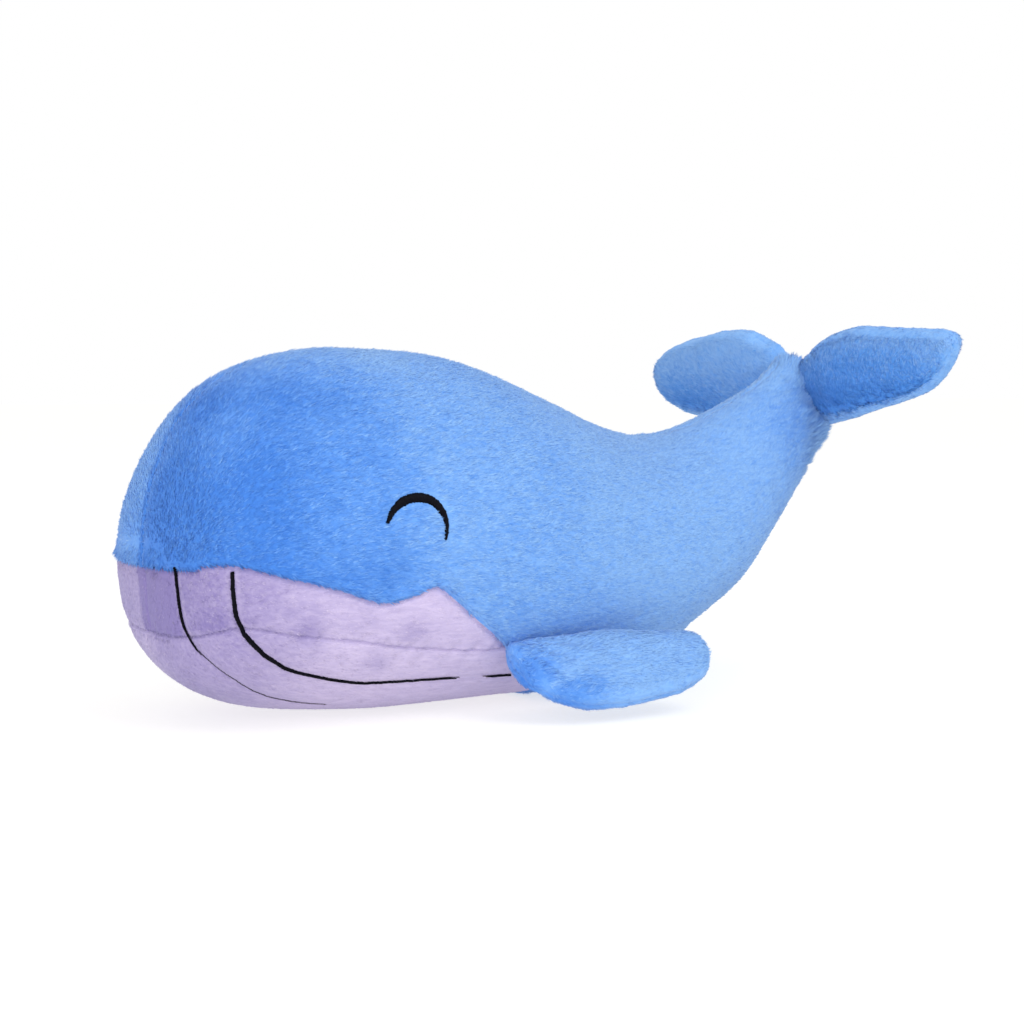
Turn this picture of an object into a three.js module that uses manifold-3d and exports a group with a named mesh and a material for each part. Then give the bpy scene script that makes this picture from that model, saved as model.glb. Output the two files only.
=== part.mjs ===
// A small plush whale lying on its belly, in millimetres, +Z up.
// The nose points to -X, the tail to +X, and the whale's left side faces -Y.
// The origin is on the surface the whale lies on, under the middle of its length.
//
// The body is an envelope of sewn plush panels round a core of fibre filling. A pair of
// flippers and a pair of tail flukes are small stuffed pillows of their own, each of two
// panels and a filling, and each swings about the seam that holds it to the body.
// The eyes and the throat lines are black embroidery.
import * as THREE from "three";
import { mergeVertices } from "three/addons/utils/BufferGeometryUtils.js";
import Module from "manifold-3d";

const wasm = await Module();
wasm.setup();
const { Manifold, CrossSection } = wasm;

// The body
const BODY_LENGTH = 265; // nose to the end of the tail stock
const BODY_HEIGHT = 113; // resting surface to the top of the head
const BODY_WIDTH = 109; // across the cheeks
const BELLY_FLAT = 0.5; // how deep the belly is pressed flat where the whale lies on it

// The cloth, and the gaps between sewn pieces
const PLUSH_THICKNESS = 3; // backing cloth and pile of the body panels
const LIMB_PLUSH_THICKNESS = 2; // the same cloth, pulled tighter round the small limbs
const SEAM_GAP = 0.3; // between pieces that are sewn edge to edge
const FILLING_GAP = 0.5; // between a limb's cloth and its filling

// The flippers
const FLIPPER_LENGTH = 70;
const FLIPPER_WIDTH = 30;
const FLIPPER_THICKNESS = 15.2;
const FLIPPER_HINGE_RISE = 4.5; // from the flipper's own line of length up to its sewn seam
const FLIPPER_DROOP_DEGREES = 42; // below level, as it hangs beside the belly
const FLIPPER_SPLAY_DEGREES = 8; // the tip stands further out than the root
const FLIPPER_LOWEST_DEGREES = -8; // from where it lies, down to the table
const FLIPPER_HIGHEST_DEGREES = 35;

// The flukes: the left one is sewn a little smaller than the right one
const FLUKE_SPAN = 82; // from the middle of the tail stock to the tip of one fluke
const LEFT_FLUKE_CHORD = 36.5;
const RIGHT_FLUKE_CHORD = 40.5;
const FLUKE_THICKNESS = 20.4;
const FLUKE_RISE = 4; // the flukes' middle above the middle of the stock's end
const FLUKE_HINGE_OFFSET = 9; // from the middle of the tail stock to the sewn seam
const FLUKE_LEAN_DEGREES = 15.7; // the flukes stand nearly upright and lean to the head
const FLUKE_ROLL_DEGREES = 3; // the left fluke stands a little higher than the right one
const FLUKE_SEAM_TILT_DEGREES = 12; // the edge seam rolls onto the front near the lower edge
const FLUKE_FORWARD_DEGREES = -20;
const FLUKE_BACK_DEGREES = 20;

// The embroidery
const THREAD_RISE = 0.7; // how far the stitches stand on the cloth
const EYE_THREAD_WIDTH = 2.9;
const INNER_LINE_WIDTH = 1.3;
const RIGHT_INNER_LINE_SHIFT = 8.5; // further from the middle seam than on the left side
const OUTER_LINE_WIDTH = 2;

// How finely the shapes are cut into facets
const BODY_RIBS = 28;
const BODY_RING = 24;
const LINING_RIBS = 18;
const LINING_RING = 16;
const LIMB_RIBS = 11;
const LIMB_RING = 14;
const LIMB_LINING_RIBS = 8;
const LIMB_LINING_RING = 8;
const SEAM_STEPS = 20;
const STITCH_STEPS = 14;

// The body's ribs from nose to tail. A rib is a closed oval that stands across the body.
// Its highest and lowest points are shares of the body's length and height, and its width
// is a share of the full width: top x, top z, bottom x, bottom z, width.
const BODY_RIB_SHARES = [
  [0, 0.463, 0, 0.463, 0],
  [0.003, 0.559, 0.003, 0.366, 0.239],
  [0.012, 0.665, 0.009, 0.269, 0.44],
  [0.028, 0.762, 0.019, 0.189, 0.606],
  [0.051, 0.841, 0.04, 0.123, 0.734],
  [0.087, 0.91, 0.072, 0.073, 0.844],
  [0.134, 0.962, 0.119, 0.036, 0.927],
  [0.198, 0.995, 0.183, 0.013, 0.982],
  [0.274, 1, 0.258, 0, 1],
  [0.357, 0.984, 0.342, 0, 1],
  [0.44, 0.935, 0.425, 0, 0.972],
  [0.523, 0.859, 0.511, 0.001, 0.908],
  [0.594, 0.789, 0.594, 0.031, 0.826],
  [0.662, 0.749, 0.674, 0.093, 0.734],
  [0.723, 0.749, 0.743, 0.181, 0.633],
  [0.775, 0.78, 0.806, 0.273, 0.532],
  [0.828, 0.833, 0.86, 0.383, 0.44],
  [0.872, 0.881, 0.911, 0.507, 0.358],
  [0.911, 0.93, 0.955, 0.626, 0.284],
  [0.943, 0.974, 0.992, 0.731, 0.22],
  [0.974, 0.863, 0.974, 0.863, 0],
];
const BODY_EGG_SHARE = 0.15; // how much wider a rib is low down than high up
const STOCK_END_RIB = BODY_RIB_SHARES.length - 2;

// A flipper's ribs from front to tip, as shares of its length, width and thickness:
// upper edge x and z, lower edge x and z, thickness.
const FLIPPER_RIB_SHARES = [
  [0, -0.2, 0, -0.2, 0],
  [0.029, -0.03, 0.02, -0.42, 0.45],
  [0.129, 0.05, 0.1, -0.65, 0.66],
  [0.286, 0.09, 0.257, -0.82, 0.84],
  [0.457, 0.08, 0.443, -0.87, 0.93],
  [0.643, 0.07, 0.643, -0.83, 0.95],
  [0.8, 0.05, 0.81, -0.73, 0.88],
  [0.935, -0.03, 0.935, -0.57, 0.66],
  [0.99, -0.28, 0.99, -0.28, 0],
];

// A fluke's ribs from the stock to the tip, as shares of its span, chord and thickness:
// trailing edge x and z, leading edge x and z, thickness.
const LEFT_FLUKE_RIB_SHARES = [
  [0.037, 0, 0.037, 0, 0],
  [0.061, 0.27, 0.061, -0.404, 0.59],
  [0.146, 0.385, 0.146, -0.417, 0.8],
  [0.268, 0.5, 0.28, -0.38, 0.96],
  [0.427, 0.55, 0.451, -0.305, 1],
  [0.598, 0.525, 0.634, -0.232, 0.94],
  [0.756, 0.485, 0.793, -0.135, 0.8],
  [0.89, 0.45, 0.909, 0.03, 0.59],
  [0.97, 0.41, 0.976, 0.2, 0.35],
  [1, 0.31, 1, 0.31, 0],
];
// The right fluke's tip is blunter than the left one's.
const RIGHT_FLUKE_RIB_SHARES = [
  [0.037, 0, 0.037, 0, 0],
  [0.061, 0.32, 0.061, -0.404, 0.59],
  [0.146, 0.45, 0.146, -0.417, 0.8],
  [0.268, 0.57, 0.28, -0.38, 0.96],
  [0.427, 0.59, 0.451, -0.32, 1],
  [0.598, 0.56, 0.634, -0.27, 0.96],
  [0.756, 0.52, 0.78, -0.21, 0.88],
  [0.885, 0.46, 0.895, -0.11, 0.72],
  [0.962, 0.36, 0.965, 0.02, 0.45],
  [0.99, 0.2, 0.99, 0.2, 0],
];

// The seams seen from the side, as shares of the body's length and height.
// The lip seam parts the blue back from the lavender lip, and drops to the flipper.
const LIP_SEAM_SHARES = [
  [-0.1, 0.428],
  [0.004, 0.43],
  [0.02, 0.448],
  [0.045, 0.45],
  [0.1, 0.414],
  [0.144, 0.386],
  [0.195, 0.346],
  [0.23, 0.357],
  [0.262, 0.379],
  [0.29, 0.335],
  [0.321, 0.279],
  [0.358, 0.216],
  [0.4, 0.13],
];
// The gusset seam parts both side panels from the panels underneath.
const GUSSET_SEAM_SHARES = [
  [-0.1, 0.235],
  [0, 0.245],
  [0.05, 0.285],
  [0.11, 0.264],
  [0.18, 0.24],
  [0.25, 0.21],
  [0.36, 0.188],
  [0.45, 0.21],
  [0.55, 0.24],
  [0.64, 0.28],
  [0.71, 0.37],
  [0.79, 0.495],
  [0.85, 0.59],
  [0.89, 0.71],
  [0.92, 0.79],
  [0.97, 0.815],
  [1.1, 0.82],
];
const BELLY_END_SHARE = 0.47; // where the lavender belly gives way to the blue underside
const FLIPPER_ROOT_SHARES = [0.357, 0.92, 0.198]; // on the gusset seam, behind the lip

// The stitch lines of the left side, as shares of the length, half width and height.
const EYE_SHARES = [
  [0.204, 0.97, 0.551],
  [0.214, 0.95, 0.583],
  [0.229, 0.94, 0.604],
  [0.246, 0.94, 0.611],
  [0.263, 0.95, 0.601],
  [0.273, 0.97, 0.574],
  [0.277, 0.98, 0.54],
  [0.274, 1, 0.503],
];
const INNER_LINE_SHARES = [
  [0.006, 0.37, 0.425],
  [0.009, 0.376, 0.37],
  [0.012, 0.385, 0.31],
  [0.018, 0.4, 0.265],
  [0.031, 0.45, 0.21],
  [0.048, 0.473, 0.174],
  [0.071, 0.477, 0.132],
  [0.1, 0.44, 0.093],
  [0.143, 0.407, 0.06],
  [0.189, 0.38, 0.041],
];
const OUTER_LINE_SHARES = [
  [0.04, 0.723, 0.425],
  [0.043, 0.72, 0.36],
  [0.049, 0.71, 0.297],
  [0.062, 0.717, 0.255],
  [0.084, 0.717, 0.204],
  [0.112, 0.71, 0.164],
  [0.139, 0.712, 0.144],
  [0.2, 0.697, 0.111],
  [0.26, 0.71, 0.105],
  [0.32, 0.71, 0.104],
  [0.4, 0.69, 0.098],
];
const EYE_WIDTH_SHARES = [0.35, 0.7, 0.95, 1, 0.9, 0.65, 0.45, 0.3];
const LINE_WIDTH_SHARES = [1, 1, 1, 0.9, 0.75, 0.6];

// Points of a body in shares become points in millimetres.
const noseX = -BODY_LENGTH / 2;
const fullHeight = BODY_HEIGHT + BELLY_FLAT;
const bodyX = (share) => noseX + share * BODY_LENGTH;
const bodyZ = (share) => share * fullHeight - BELLY_FLAT;
const halfWidth = BODY_WIDTH / 2;

// Smooth curves through the ribs: the upper edge carries the half width as its y, and
// both run from 0 at the first rib to 1 at the last one.
function ribForm(shares, placeX, placeZ, width, egg) {
  const upper = shares.map(
    ([x, z, , , w]) => new THREE.Vector3(placeX(x), (w * width) / 2, placeZ(z)),
  );
  const lower = shares.map(([, , x, z]) => new THREE.Vector3(placeX(x), 0, placeZ(z)));
  return {
    upper: new THREE.CatmullRomCurve3(upper, false, "catmullrom", 0.5),
    lower: new THREE.CatmullRomCurve3(lower, false, "catmullrom", 0.5),
    egg,
  };
}

// A point of a skin: along runs over the ribs, and angle runs round a rib, from 0 at its
// upper edge to half a turn at its lower edge, positive towards +Y.
function skinPoint(form, along, angle) {
  const top = form.upper.getPoint(along);
  const bottom = form.lower.getPoint(along);
  const rise = Math.cos(angle);
  const reach = Math.max(top.y, 0) * Math.sin(angle) * (1 - form.egg * rise);
  return new THREE.Vector3(
    (top.x + bottom.x) / 2 + ((top.x - bottom.x) / 2) * rise,
    reach,
    (top.z + bottom.z) / 2 + ((top.z - bottom.z) / 2) * rise,
  );
}

// A closed skin over the ribs, with a pole at each end.
function loft(form, ribCount, ringCount) {
  const points = [skinPoint(form, 0, 0)];
  for (let i = 1; i < ribCount; i += 1) {
    for (let k = 0; k < ringCount; k += 1) {
      points.push(skinPoint(form, i / ribCount, (2 * Math.PI * k) / ringCount));
    }
  }
  points.push(skinPoint(form, 1, 0));
  const last = points.length - 1;
  const at = (rib, k) => 1 + (rib - 1) * ringCount + (k % ringCount);
  const faces = [];
  for (let k = 0; k < ringCount; k += 1) {
    faces.push(0, at(1, k), at(1, k + 1));
    for (let i = 1; i < ribCount - 1; i += 1) {
      faces.push(at(i, k), at(i + 1, k), at(i + 1, k + 1));
      faces.push(at(i, k), at(i + 1, k + 1), at(i, k + 1));
    }
    faces.push(at(ribCount - 1, k), last, at(ribCount - 1, k + 1));
  }
  const geometry = new THREE.BufferGeometry().setFromPoints(points);
  geometry.setIndex(faces);
  geometry.computeVertexNormals();
  return geometry;
}

// The skin moved along its own normals, outwards where distance is positive.
function offsetSkin(geometry, distance) {
  const moved = geometry.clone();
  const place = moved.getAttribute("position");
  const normal = moved.getAttribute("normal");
  const point = new THREE.Vector3();
  const outward = new THREE.Vector3();
  for (let i = 0; i < place.count; i += 1) {
    point.fromBufferAttribute(place, i);
    point.addScaledVector(outward.fromBufferAttribute(normal, i), distance);
    place.setXYZ(i, point.x, point.y, point.z);
  }
  return moved;
}

// The skin drawn in by one distance at each end of its three directions.
function shrinkSkin(geometry, distance) {
  geometry.computeBoundingBox();
  const size = geometry.boundingBox.getSize(new THREE.Vector3());
  const middle = geometry.boundingBox.getCenter(new THREE.Vector3());
  const scaleOf = (length) => (length - 2 * distance) / length;
  return geometry
    .clone()
    .translate(-middle.x, -middle.y, -middle.z)
    .scale(scaleOf(size.x), scaleOf(size.y), scaleOf(size.z))
    .translate(middle.x, middle.y, middle.z);
}

function toSolid(geometry) {
  const bare = geometry.clone();
  bare.deleteAttribute("normal");
  bare.deleteAttribute("uv");
  const merged = mergeVertices(bare);
  return new Manifold(
    new wasm.Mesh({
      numProp: 3,
      vertProperties: new Float32Array(merged.attributes.position.array),
      triVerts: new Uint32Array(merged.index.array),
    }),
  );
}

function toGeometry(solid) {
  const mesh = solid.getMesh();
  const geometry = new THREE.BufferGeometry();
  geometry.setAttribute("position", new THREE.BufferAttribute(mesh.vertProperties, 3));
  geometry.setIndex(new THREE.BufferAttribute(mesh.triVerts, 1));
  geometry.computeVertexNormals();
  return geometry;
}

// A box that covers the body, moved so that it starts at the origin along one axis.
const COVER = 3 * BODY_LENGTH;
function cover(x, y, z) {
  const box = Manifold.cube([COVER, COVER, COVER], true);
  return box.translate([(x * COVER) / 2, (y * COVER) / 2, (z * COVER) / 2]);
}

// The space below a seam that is drawn in the side view, grown or shrunk by a distance.
function belowSeam(seamShares, grow) {
  const points = seamShares.map(([x, z]) => new THREE.Vector2(bodyX(x), bodyZ(z)));
  const line = new THREE.SplineCurve(points).getPoints(SEAM_STEPS);
  const outline = line.map((point) => [point.x, point.y]);
  outline.push([outline[outline.length - 1][0], -COVER], [outline[0][0], -COVER]);
  const region = new CrossSection([outline], "EvenOdd").offset(grow, "Miter");
  return region.extrude(COVER, 0, 0, [1, 1], true).rotate([90, 0, 0]);
}

// Body skin, lining and filling
const bodyForm = ribForm(BODY_RIB_SHARES, bodyX, bodyZ, BODY_WIDTH, BODY_EGG_SHARE);
const bodySkin = loft(bodyForm, BODY_RIBS, BODY_RING);
const liningSkin = loft(bodyForm, LINING_RIBS, LINING_RING);
const bodyOuter = toSolid(bodySkin).subtract(cover(0, 0, -1));
const bodyInner = toSolid(offsetSkin(liningSkin, -PLUSH_THICKNESS));
const bodyFilling = toSolid(offsetSkin(liningSkin, -PLUSH_THICKNESS - FILLING_GAP));
const envelope = bodyOuter.subtract(bodyInner);
const bodyClearance = toSolid(offsetSkin(bodySkin, SEAM_GAP));

// The sewn panels of the body. Each seam leaves half a gap on both of its sides.
const halfGap = SEAM_GAP / 2;
const upperEnvelope = envelope.subtract(belowSeam(GUSSET_SEAM_SHARES, halfGap));
const lowerEnvelope = envelope.intersect(belowSeam(GUSSET_SEAM_SHARES, -halfGap));
const lipRegion = belowSeam(LIP_SEAM_SHARES, -halfGap);
const lipAndSeam = belowSeam(LIP_SEAM_SHARES, halfGap);

function sidePanel(side) {
  return upperEnvelope.subtract(lipAndSeam).intersect(onSide(side));
}

function lipPanel(side) {
  return upperEnvelope.intersect(lipRegion).intersect(onSide(side));
}

function onSide(side) {
  return cover(0, side, 0).translate([0, side * halfGap, 0]);
}

const bellyEnd = bodyX(BELLY_END_SHARE);
const aheadOfEnd = cover(-1, 0, 0).translate([bellyEnd - halfGap, 0, 0]);
const behindEnd = cover(1, 0, 0).translate([bellyEnd + halfGap, 0, 0]);
const bellyPanel = lowerEnvelope.intersect(aheadOfEnd);
const tailUnderside = lowerEnvelope.intersect(behindEnd);

// The place on the body's skin nearest to a point, with the skin's outward normal.
const SEARCH_STEPS = 60;
const REFINE_STEPS = 24;
function nearestOnSkin(target) {
  let best = { along: 0, angle: 0, distance: Infinity };
  const attempt = (along, angle) => {
    const inside = Math.min(Math.max(along, 0), 1);
    const distance = skinPoint(bodyForm, inside, angle).distanceTo(target);
    if (distance < best.distance) best = { along: inside, angle, distance };
  };
  for (let i = 0; i <= SEARCH_STEPS; i += 1) {
    for (let k = 0; k < SEARCH_STEPS; k += 1) {
      attempt(i / SEARCH_STEPS, (2 * Math.PI * k) / SEARCH_STEPS);
    }
  }
  let reach = 1 / SEARCH_STEPS;
  for (let step = 0; step < REFINE_STEPS; step += 1) {
    const { along, angle } = best;
    attempt(along + reach, angle);
    attempt(along - reach, angle);
    attempt(along, angle + 2 * Math.PI * reach);
    attempt(along, angle - 2 * Math.PI * reach);
    if (best.along === along && best.angle === angle) reach /= 2;
  }
  const point = skinPoint(bodyForm, best.along, best.angle);
  const step = 1 / SEARCH_STEPS ** 2;
  const ahead = skinPoint(bodyForm, Math.min(best.along + step, 1), best.angle).sub(point);
  const around = skinPoint(bodyForm, best.along, best.angle + step).sub(point);
  return { point, normal: new THREE.Vector3().crossVectors(ahead, around).normalize() };
}

// A value read from an evenly spaced list, between its neighbours.
function readShares(shares, at) {
  const place = at * (shares.length - 1);
  const first = Math.min(Math.floor(place), shares.length - 2);
  return THREE.MathUtils.lerp(shares[first], shares[first + 1], place - first);
}

// A raised band of satin stitch that follows a line on the body's skin.
function stitchBand(lineShares, side, width, widthShares, shift = 0) {
  const guide = new THREE.CatmullRomCurve3(
    lineShares.map(
      ([x, y, z]) => new THREE.Vector3(bodyX(x), side * (y * halfWidth + shift), bodyZ(z)),
    ),
  );
  const rests = guide.getPoints(STITCH_STEPS).map((point) => nearestOnSkin(point));
  const low = SEAM_GAP;
  const high = SEAM_GAP + THREAD_RISE;
  const section = [[-1, low], [1, low], [1, high], [-1, high]];
  const corners = [];
  rests.forEach(({ point, normal }, i) => {
    const before = rests[Math.max(i - 1, 0)].point;
    const after = rests[Math.min(i + 1, STITCH_STEPS)].point;
    const forward = new THREE.Vector3().subVectors(after, before);
    const across = new THREE.Vector3().crossVectors(forward, normal).normalize();
    const half = (width * readShares(widthShares, i / STITCH_STEPS)) / 2;
    for (const [sign, height] of section) {
      const corner = point.clone().addScaledVector(across, sign * half);
      corners.push(corner.addScaledVector(normal, height));
    }
  });
  const faces = [0, 1, 2, 0, 2, 3];
  for (let i = 0; i < STITCH_STEPS; i += 1) {
    for (let k = 0; k < 4; k += 1) {
      const a = 4 * i + k;
      const b = 4 * i + ((k + 1) % 4);
      faces.push(a, b + 4, b, a, a + 4, b + 4);
    }
  }
  const end = 4 * STITCH_STEPS;
  faces.push(end, end + 2, end + 1, end, end + 3, end + 2);
  const geometry = new THREE.BufferGeometry().setFromPoints(corners);
  geometry.setIndex(faces);
  geometry.computeVertexNormals();
  return geometry;
}

// A limb's own axes: x along it, y out of its upper face, z towards its sewn edge. The
// right limb's axes mirror the left limb's.
function flipperFrame(side) {
  const [x, y, z] = FLIPPER_ROOT_SHARES;
  const root = nearestOnSkin(new THREE.Vector3(bodyX(x), side * y * halfWidth, bodyZ(z))).point;
  const splay = THREE.MathUtils.degToRad(FLIPPER_SPLAY_DEGREES);
  const droop = THREE.MathUtils.degToRad(FLIPPER_DROOP_DEGREES);
  const along = new THREE.Vector3(Math.cos(splay), side * Math.sin(splay), 0);
  const inward = new THREE.Vector3(0, -side * Math.cos(droop), Math.sin(droop));
  inward.addScaledVector(along, -inward.dot(along)).normalize();
  const upward = new THREE.Vector3().crossVectors(along, inward).multiplyScalar(-side);
  return new THREE.Matrix4().makeBasis(along, upward, inward).setPosition(root);
}

function flukeFrame(side) {
  const lean = THREE.MathUtils.degToRad(FLUKE_LEAN_DEGREES);
  const roll = THREE.MathUtils.degToRad(FLUKE_ROLL_DEGREES);
  const span = new THREE.Vector3(0, side, 0);
  const chord = new THREE.Vector3(-Math.sin(lean), 0, Math.cos(lean));
  const front = new THREE.Vector3().crossVectors(chord, span).multiplyScalar(side);
  const stockEnd = bodyForm.upper.points[STOCK_END_RIB].clone();
  stockEnd.add(bodyForm.lower.points[STOCK_END_RIB]).multiplyScalar(1 / 2).setY(0);
  const middle = stockEnd.addScaledVector(chord, FLUKE_RISE);
  const turn = new THREE.Matrix4().makeRotationX(-roll);
  turn.multiply(new THREE.Matrix4().makeBasis(span, front, chord));
  return turn.setPosition(middle);
}

// The space that the body takes up as a limb sees it while the limb swings.
function sweptBody(frame, hingePoint, hingeAxis, swingDegrees, side) {
  const centre = hingePoint.clone().applyMatrix4(frame);
  const axis = hingeAxis.clone().transformDirection(frame);
  const [low, high] = swingDegrees;
  const copies = [low, 0, high / 2, high].map((degrees) => {
    const angle = -THREE.MathUtils.degToRad(degrees) * side;
    const turn = new THREE.Matrix4().makeRotationAxis(axis, angle);
    const there = new THREE.Matrix4().makeTranslation(centre.x, centre.y, centre.z);
    const back = new THREE.Matrix4().makeTranslation(-centre.x, -centre.y, -centre.z);
    return bodyClearance.transform(there.multiply(turn).multiply(back).elements);
  });
  return Manifold.union(copies);
}

// Two panels and a filling. The seam plane may be tilted about the limb's sewn edge.
function stuffedLimb(form, frame, swept, seamTiltDegrees) {
  const skin = loft(form, LIMB_RIBS, LIMB_RING);
  const lining = loft(form, LIMB_LINING_RIBS, LIMB_LINING_RING);
  const edge = form.upper.points.reduce((high, point) => Math.max(high, point.z), 0);
  const placed = (solid) => solid.transform(frame.elements).subtract(swept);
  const shell = toSolid(skin).subtract(toSolid(shrinkSkin(lining, LIMB_PLUSH_THICKNESS)));
  const face = (sign) =>
    cover(0, sign, 0)
      .translate([0, sign * halfGap, -edge])
      .rotate([seamTiltDegrees, 0, 0])
      .translate([0, 0, edge]);
  return {
    upper: placed(shell.intersect(face(1))),
    lower: placed(shell.intersect(face(-1))),
    filling: placed(toSolid(shrinkSkin(lining, LIMB_PLUSH_THICKNESS + FILLING_GAP))),
  };
}

function flipper(side) {
  const form = ribForm(
    FLIPPER_RIB_SHARES,
    (share) => share * FLIPPER_LENGTH,
    (share) => share * FLIPPER_WIDTH,
    FLIPPER_THICKNESS,
    0,
  );
  const frame = flipperFrame(side);
  const hinge = new THREE.Vector3(0, 0, FLIPPER_HINGE_RISE);
  const axis = new THREE.Vector3(1, 0, 0);
  const swing = [FLIPPER_LOWEST_DEGREES, FLIPPER_HIGHEST_DEGREES];
  return stuffedLimb(form, frame, sweptBody(frame, hinge, axis, swing, side), 0);
}

function fluke(side) {
  const chord = side < 0 ? LEFT_FLUKE_CHORD : RIGHT_FLUKE_CHORD;
  const form = ribForm(
    side < 0 ? LEFT_FLUKE_RIB_SHARES : RIGHT_FLUKE_RIB_SHARES,
    (share) => share * FLUKE_SPAN,
    (share) => share * chord,
    FLUKE_THICKNESS,
    0,
  );
  const frame = flukeFrame(side);
  const hinge = new THREE.Vector3(FLUKE_HINGE_OFFSET, 0, 0);
  const axis = new THREE.Vector3(0, 0, 1);
  const swing = [FLUKE_FORWARD_DEGREES, FLUKE_BACK_DEGREES];
  const swept = sweptBody(frame, hinge, axis, swing, side);
  return stuffedLimb(form, frame, swept, FLUKE_SEAM_TILT_DEGREES);
}

// The whale
const whale = new THREE.Group();

const bluePlush = { color: 0x6fa8f2, roughness: 0.95, metalness: 0 };
const deepBluePlush = { color: 0x5b93e0, roughness: 0.95, metalness: 0 };
const lavenderPlush = { color: 0xc3b6e4, roughness: 0.95, metalness: 0 };
const blackThread = { color: 0x15131a, roughness: 0.6, metalness: 0 };
const whiteFibre = { color: 0xf2f1ee, roughness: 1, metalness: 0 };

function add(name, geometry, finish) {
  const mesh = new THREE.Mesh(geometry, new THREE.MeshStandardMaterial(finish));
  mesh.name = name;
  whale.add(mesh);
}

function addSolid(name, solid, finish) {
  add(name, toGeometry(solid), finish);
}

addSolid("body_filling", bodyFilling, whiteFibre);
addSolid("belly_panel", bellyPanel, lavenderPlush);
addSolid("tail_underside_panel", tailUnderside, bluePlush);
for (const [word, side] of [["left", -1], ["right", 1]]) {
  addSolid(`${word}_side_panel`, sidePanel(side), bluePlush);
  addSolid(`${word}_lip_panel`, lipPanel(side), lavenderPlush);
  const innerLine = stitchBand(
    INNER_LINE_SHARES,
    side,
    INNER_LINE_WIDTH,
    LINE_WIDTH_SHARES,
    side < 0 ? 0 : RIGHT_INNER_LINE_SHIFT,
  );
  const outerLine = stitchBand(OUTER_LINE_SHARES, side, OUTER_LINE_WIDTH, LINE_WIDTH_SHARES);
  const eye = stitchBand(EYE_SHARES, side, EYE_THREAD_WIDTH, EYE_WIDTH_SHARES);
  add(`${word}_inner_throat_line`, innerLine, blackThread);
  add(`${word}_outer_throat_line`, outerLine, blackThread);
  add(`${word}_eye_stitch`, eye, blackThread);
  for (const [limb, solids, finish] of [
    ["flipper", flipper(side), bluePlush],
    ["fluke", fluke(side), deepBluePlush],
  ]) {
    addSolid(`${word}_${limb}_upper_panel`, solids.upper, finish);
    addSolid(`${word}_${limb}_lower_panel`, solids.lower, finish);
    addSolid(`${word}_${limb}_filling`, solids.filling, whiteFibre);
  }
}

export default whale;
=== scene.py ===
# %% [markdown]
# # A plush whale, sewn and brushed
#
# This lesson dresses the CAD frame of a small stuffed whale as the real toy looks.
# Its body is an envelope of short-pile plush: two blue side panels, two lavender lip
# panels, a lavender belly and a blue strip under the tail. Flippers and tail flukes are
# small pillows, and the eyes and the throat lines are satin stitch in black thread.

# %% Load the frame
import math

import bmesh
import bpy
import numpy as np
from mathutils import Matrix, Vector, noise
from mathutils.bvhtree import BVHTree
from mathutils.kdtree import KDTree


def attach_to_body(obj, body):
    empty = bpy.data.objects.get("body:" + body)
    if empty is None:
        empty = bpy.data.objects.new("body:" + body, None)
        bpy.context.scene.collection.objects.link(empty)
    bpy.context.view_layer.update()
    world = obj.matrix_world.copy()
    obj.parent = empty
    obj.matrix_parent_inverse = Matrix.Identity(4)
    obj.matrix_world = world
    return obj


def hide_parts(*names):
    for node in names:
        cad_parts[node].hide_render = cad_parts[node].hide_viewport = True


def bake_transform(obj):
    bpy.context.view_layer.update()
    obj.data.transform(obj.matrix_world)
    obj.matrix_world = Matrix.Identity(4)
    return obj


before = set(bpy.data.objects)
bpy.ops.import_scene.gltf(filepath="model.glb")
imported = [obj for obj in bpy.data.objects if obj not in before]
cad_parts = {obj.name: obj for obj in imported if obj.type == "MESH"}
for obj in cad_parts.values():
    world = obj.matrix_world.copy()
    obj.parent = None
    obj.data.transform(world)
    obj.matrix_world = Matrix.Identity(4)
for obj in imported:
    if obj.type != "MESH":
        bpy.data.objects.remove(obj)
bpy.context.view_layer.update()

MM = 0.001  # every size below is written in millimetres and used in metres
FAR = 1.0  # a distance that stands for far away
TINY = 1e-12  # keeps a division finite

# %% [markdown]
# ## The camera
#
# The photograph was taken from the whale's left, a little in front of it and a little
# above it, with a lens about as long as a portrait lens. The camera stands at the same
# place, so each feature can be set against the picture.

# %% Camera
CAMERA_TURN_DEGREES = -33
CAMERA_RISE_DEGREES = 4
CAMERA_DISTANCE = 650 * MM
CAMERA_TARGET = Vector((-2, 0, 59)) * MM
CAMERA_LENS = 69.25
CAMERA_SENSOR = 36

turn, rise = math.radians(CAMERA_TURN_DEGREES), math.radians(CAMERA_RISE_DEGREES)
towards_camera = Vector((
    math.sin(turn) * math.cos(rise),
    -math.cos(turn) * math.cos(rise),
    math.sin(rise),
))
camera = bpy.data.objects.new("camera", bpy.data.cameras.new("camera"))
bpy.context.collection.objects.link(camera)
camera.data.lens = CAMERA_LENS
camera.data.sensor_width = CAMERA_SENSOR
camera.location = CAMERA_TARGET + towards_camera * CAMERA_DISTANCE
camera.rotation_euler = (-towards_camera).to_track_quat("-Z", "Y").to_euler()
bpy.context.scene.camera = camera
print("camera at", [round(v / MM) for v in camera.location])

# %% [markdown]
# ## Curves through ribs
#
# Every stuffed form of the whale is described by a few ribs: closed ovals that stand
# across it, as the frames of a boat do. A rib has an upper edge, a lower edge and a
# width, and smooth curves run through them all. A point of the skin is then two
# numbers: how far along the ribs it lies, and at which angle round its rib.


# %% Smooth curves and the skin of a form
def unit(vectors):
    return vectors / np.maximum(np.linalg.norm(vectors, axis=1, keepdims=True), TINY)


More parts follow.
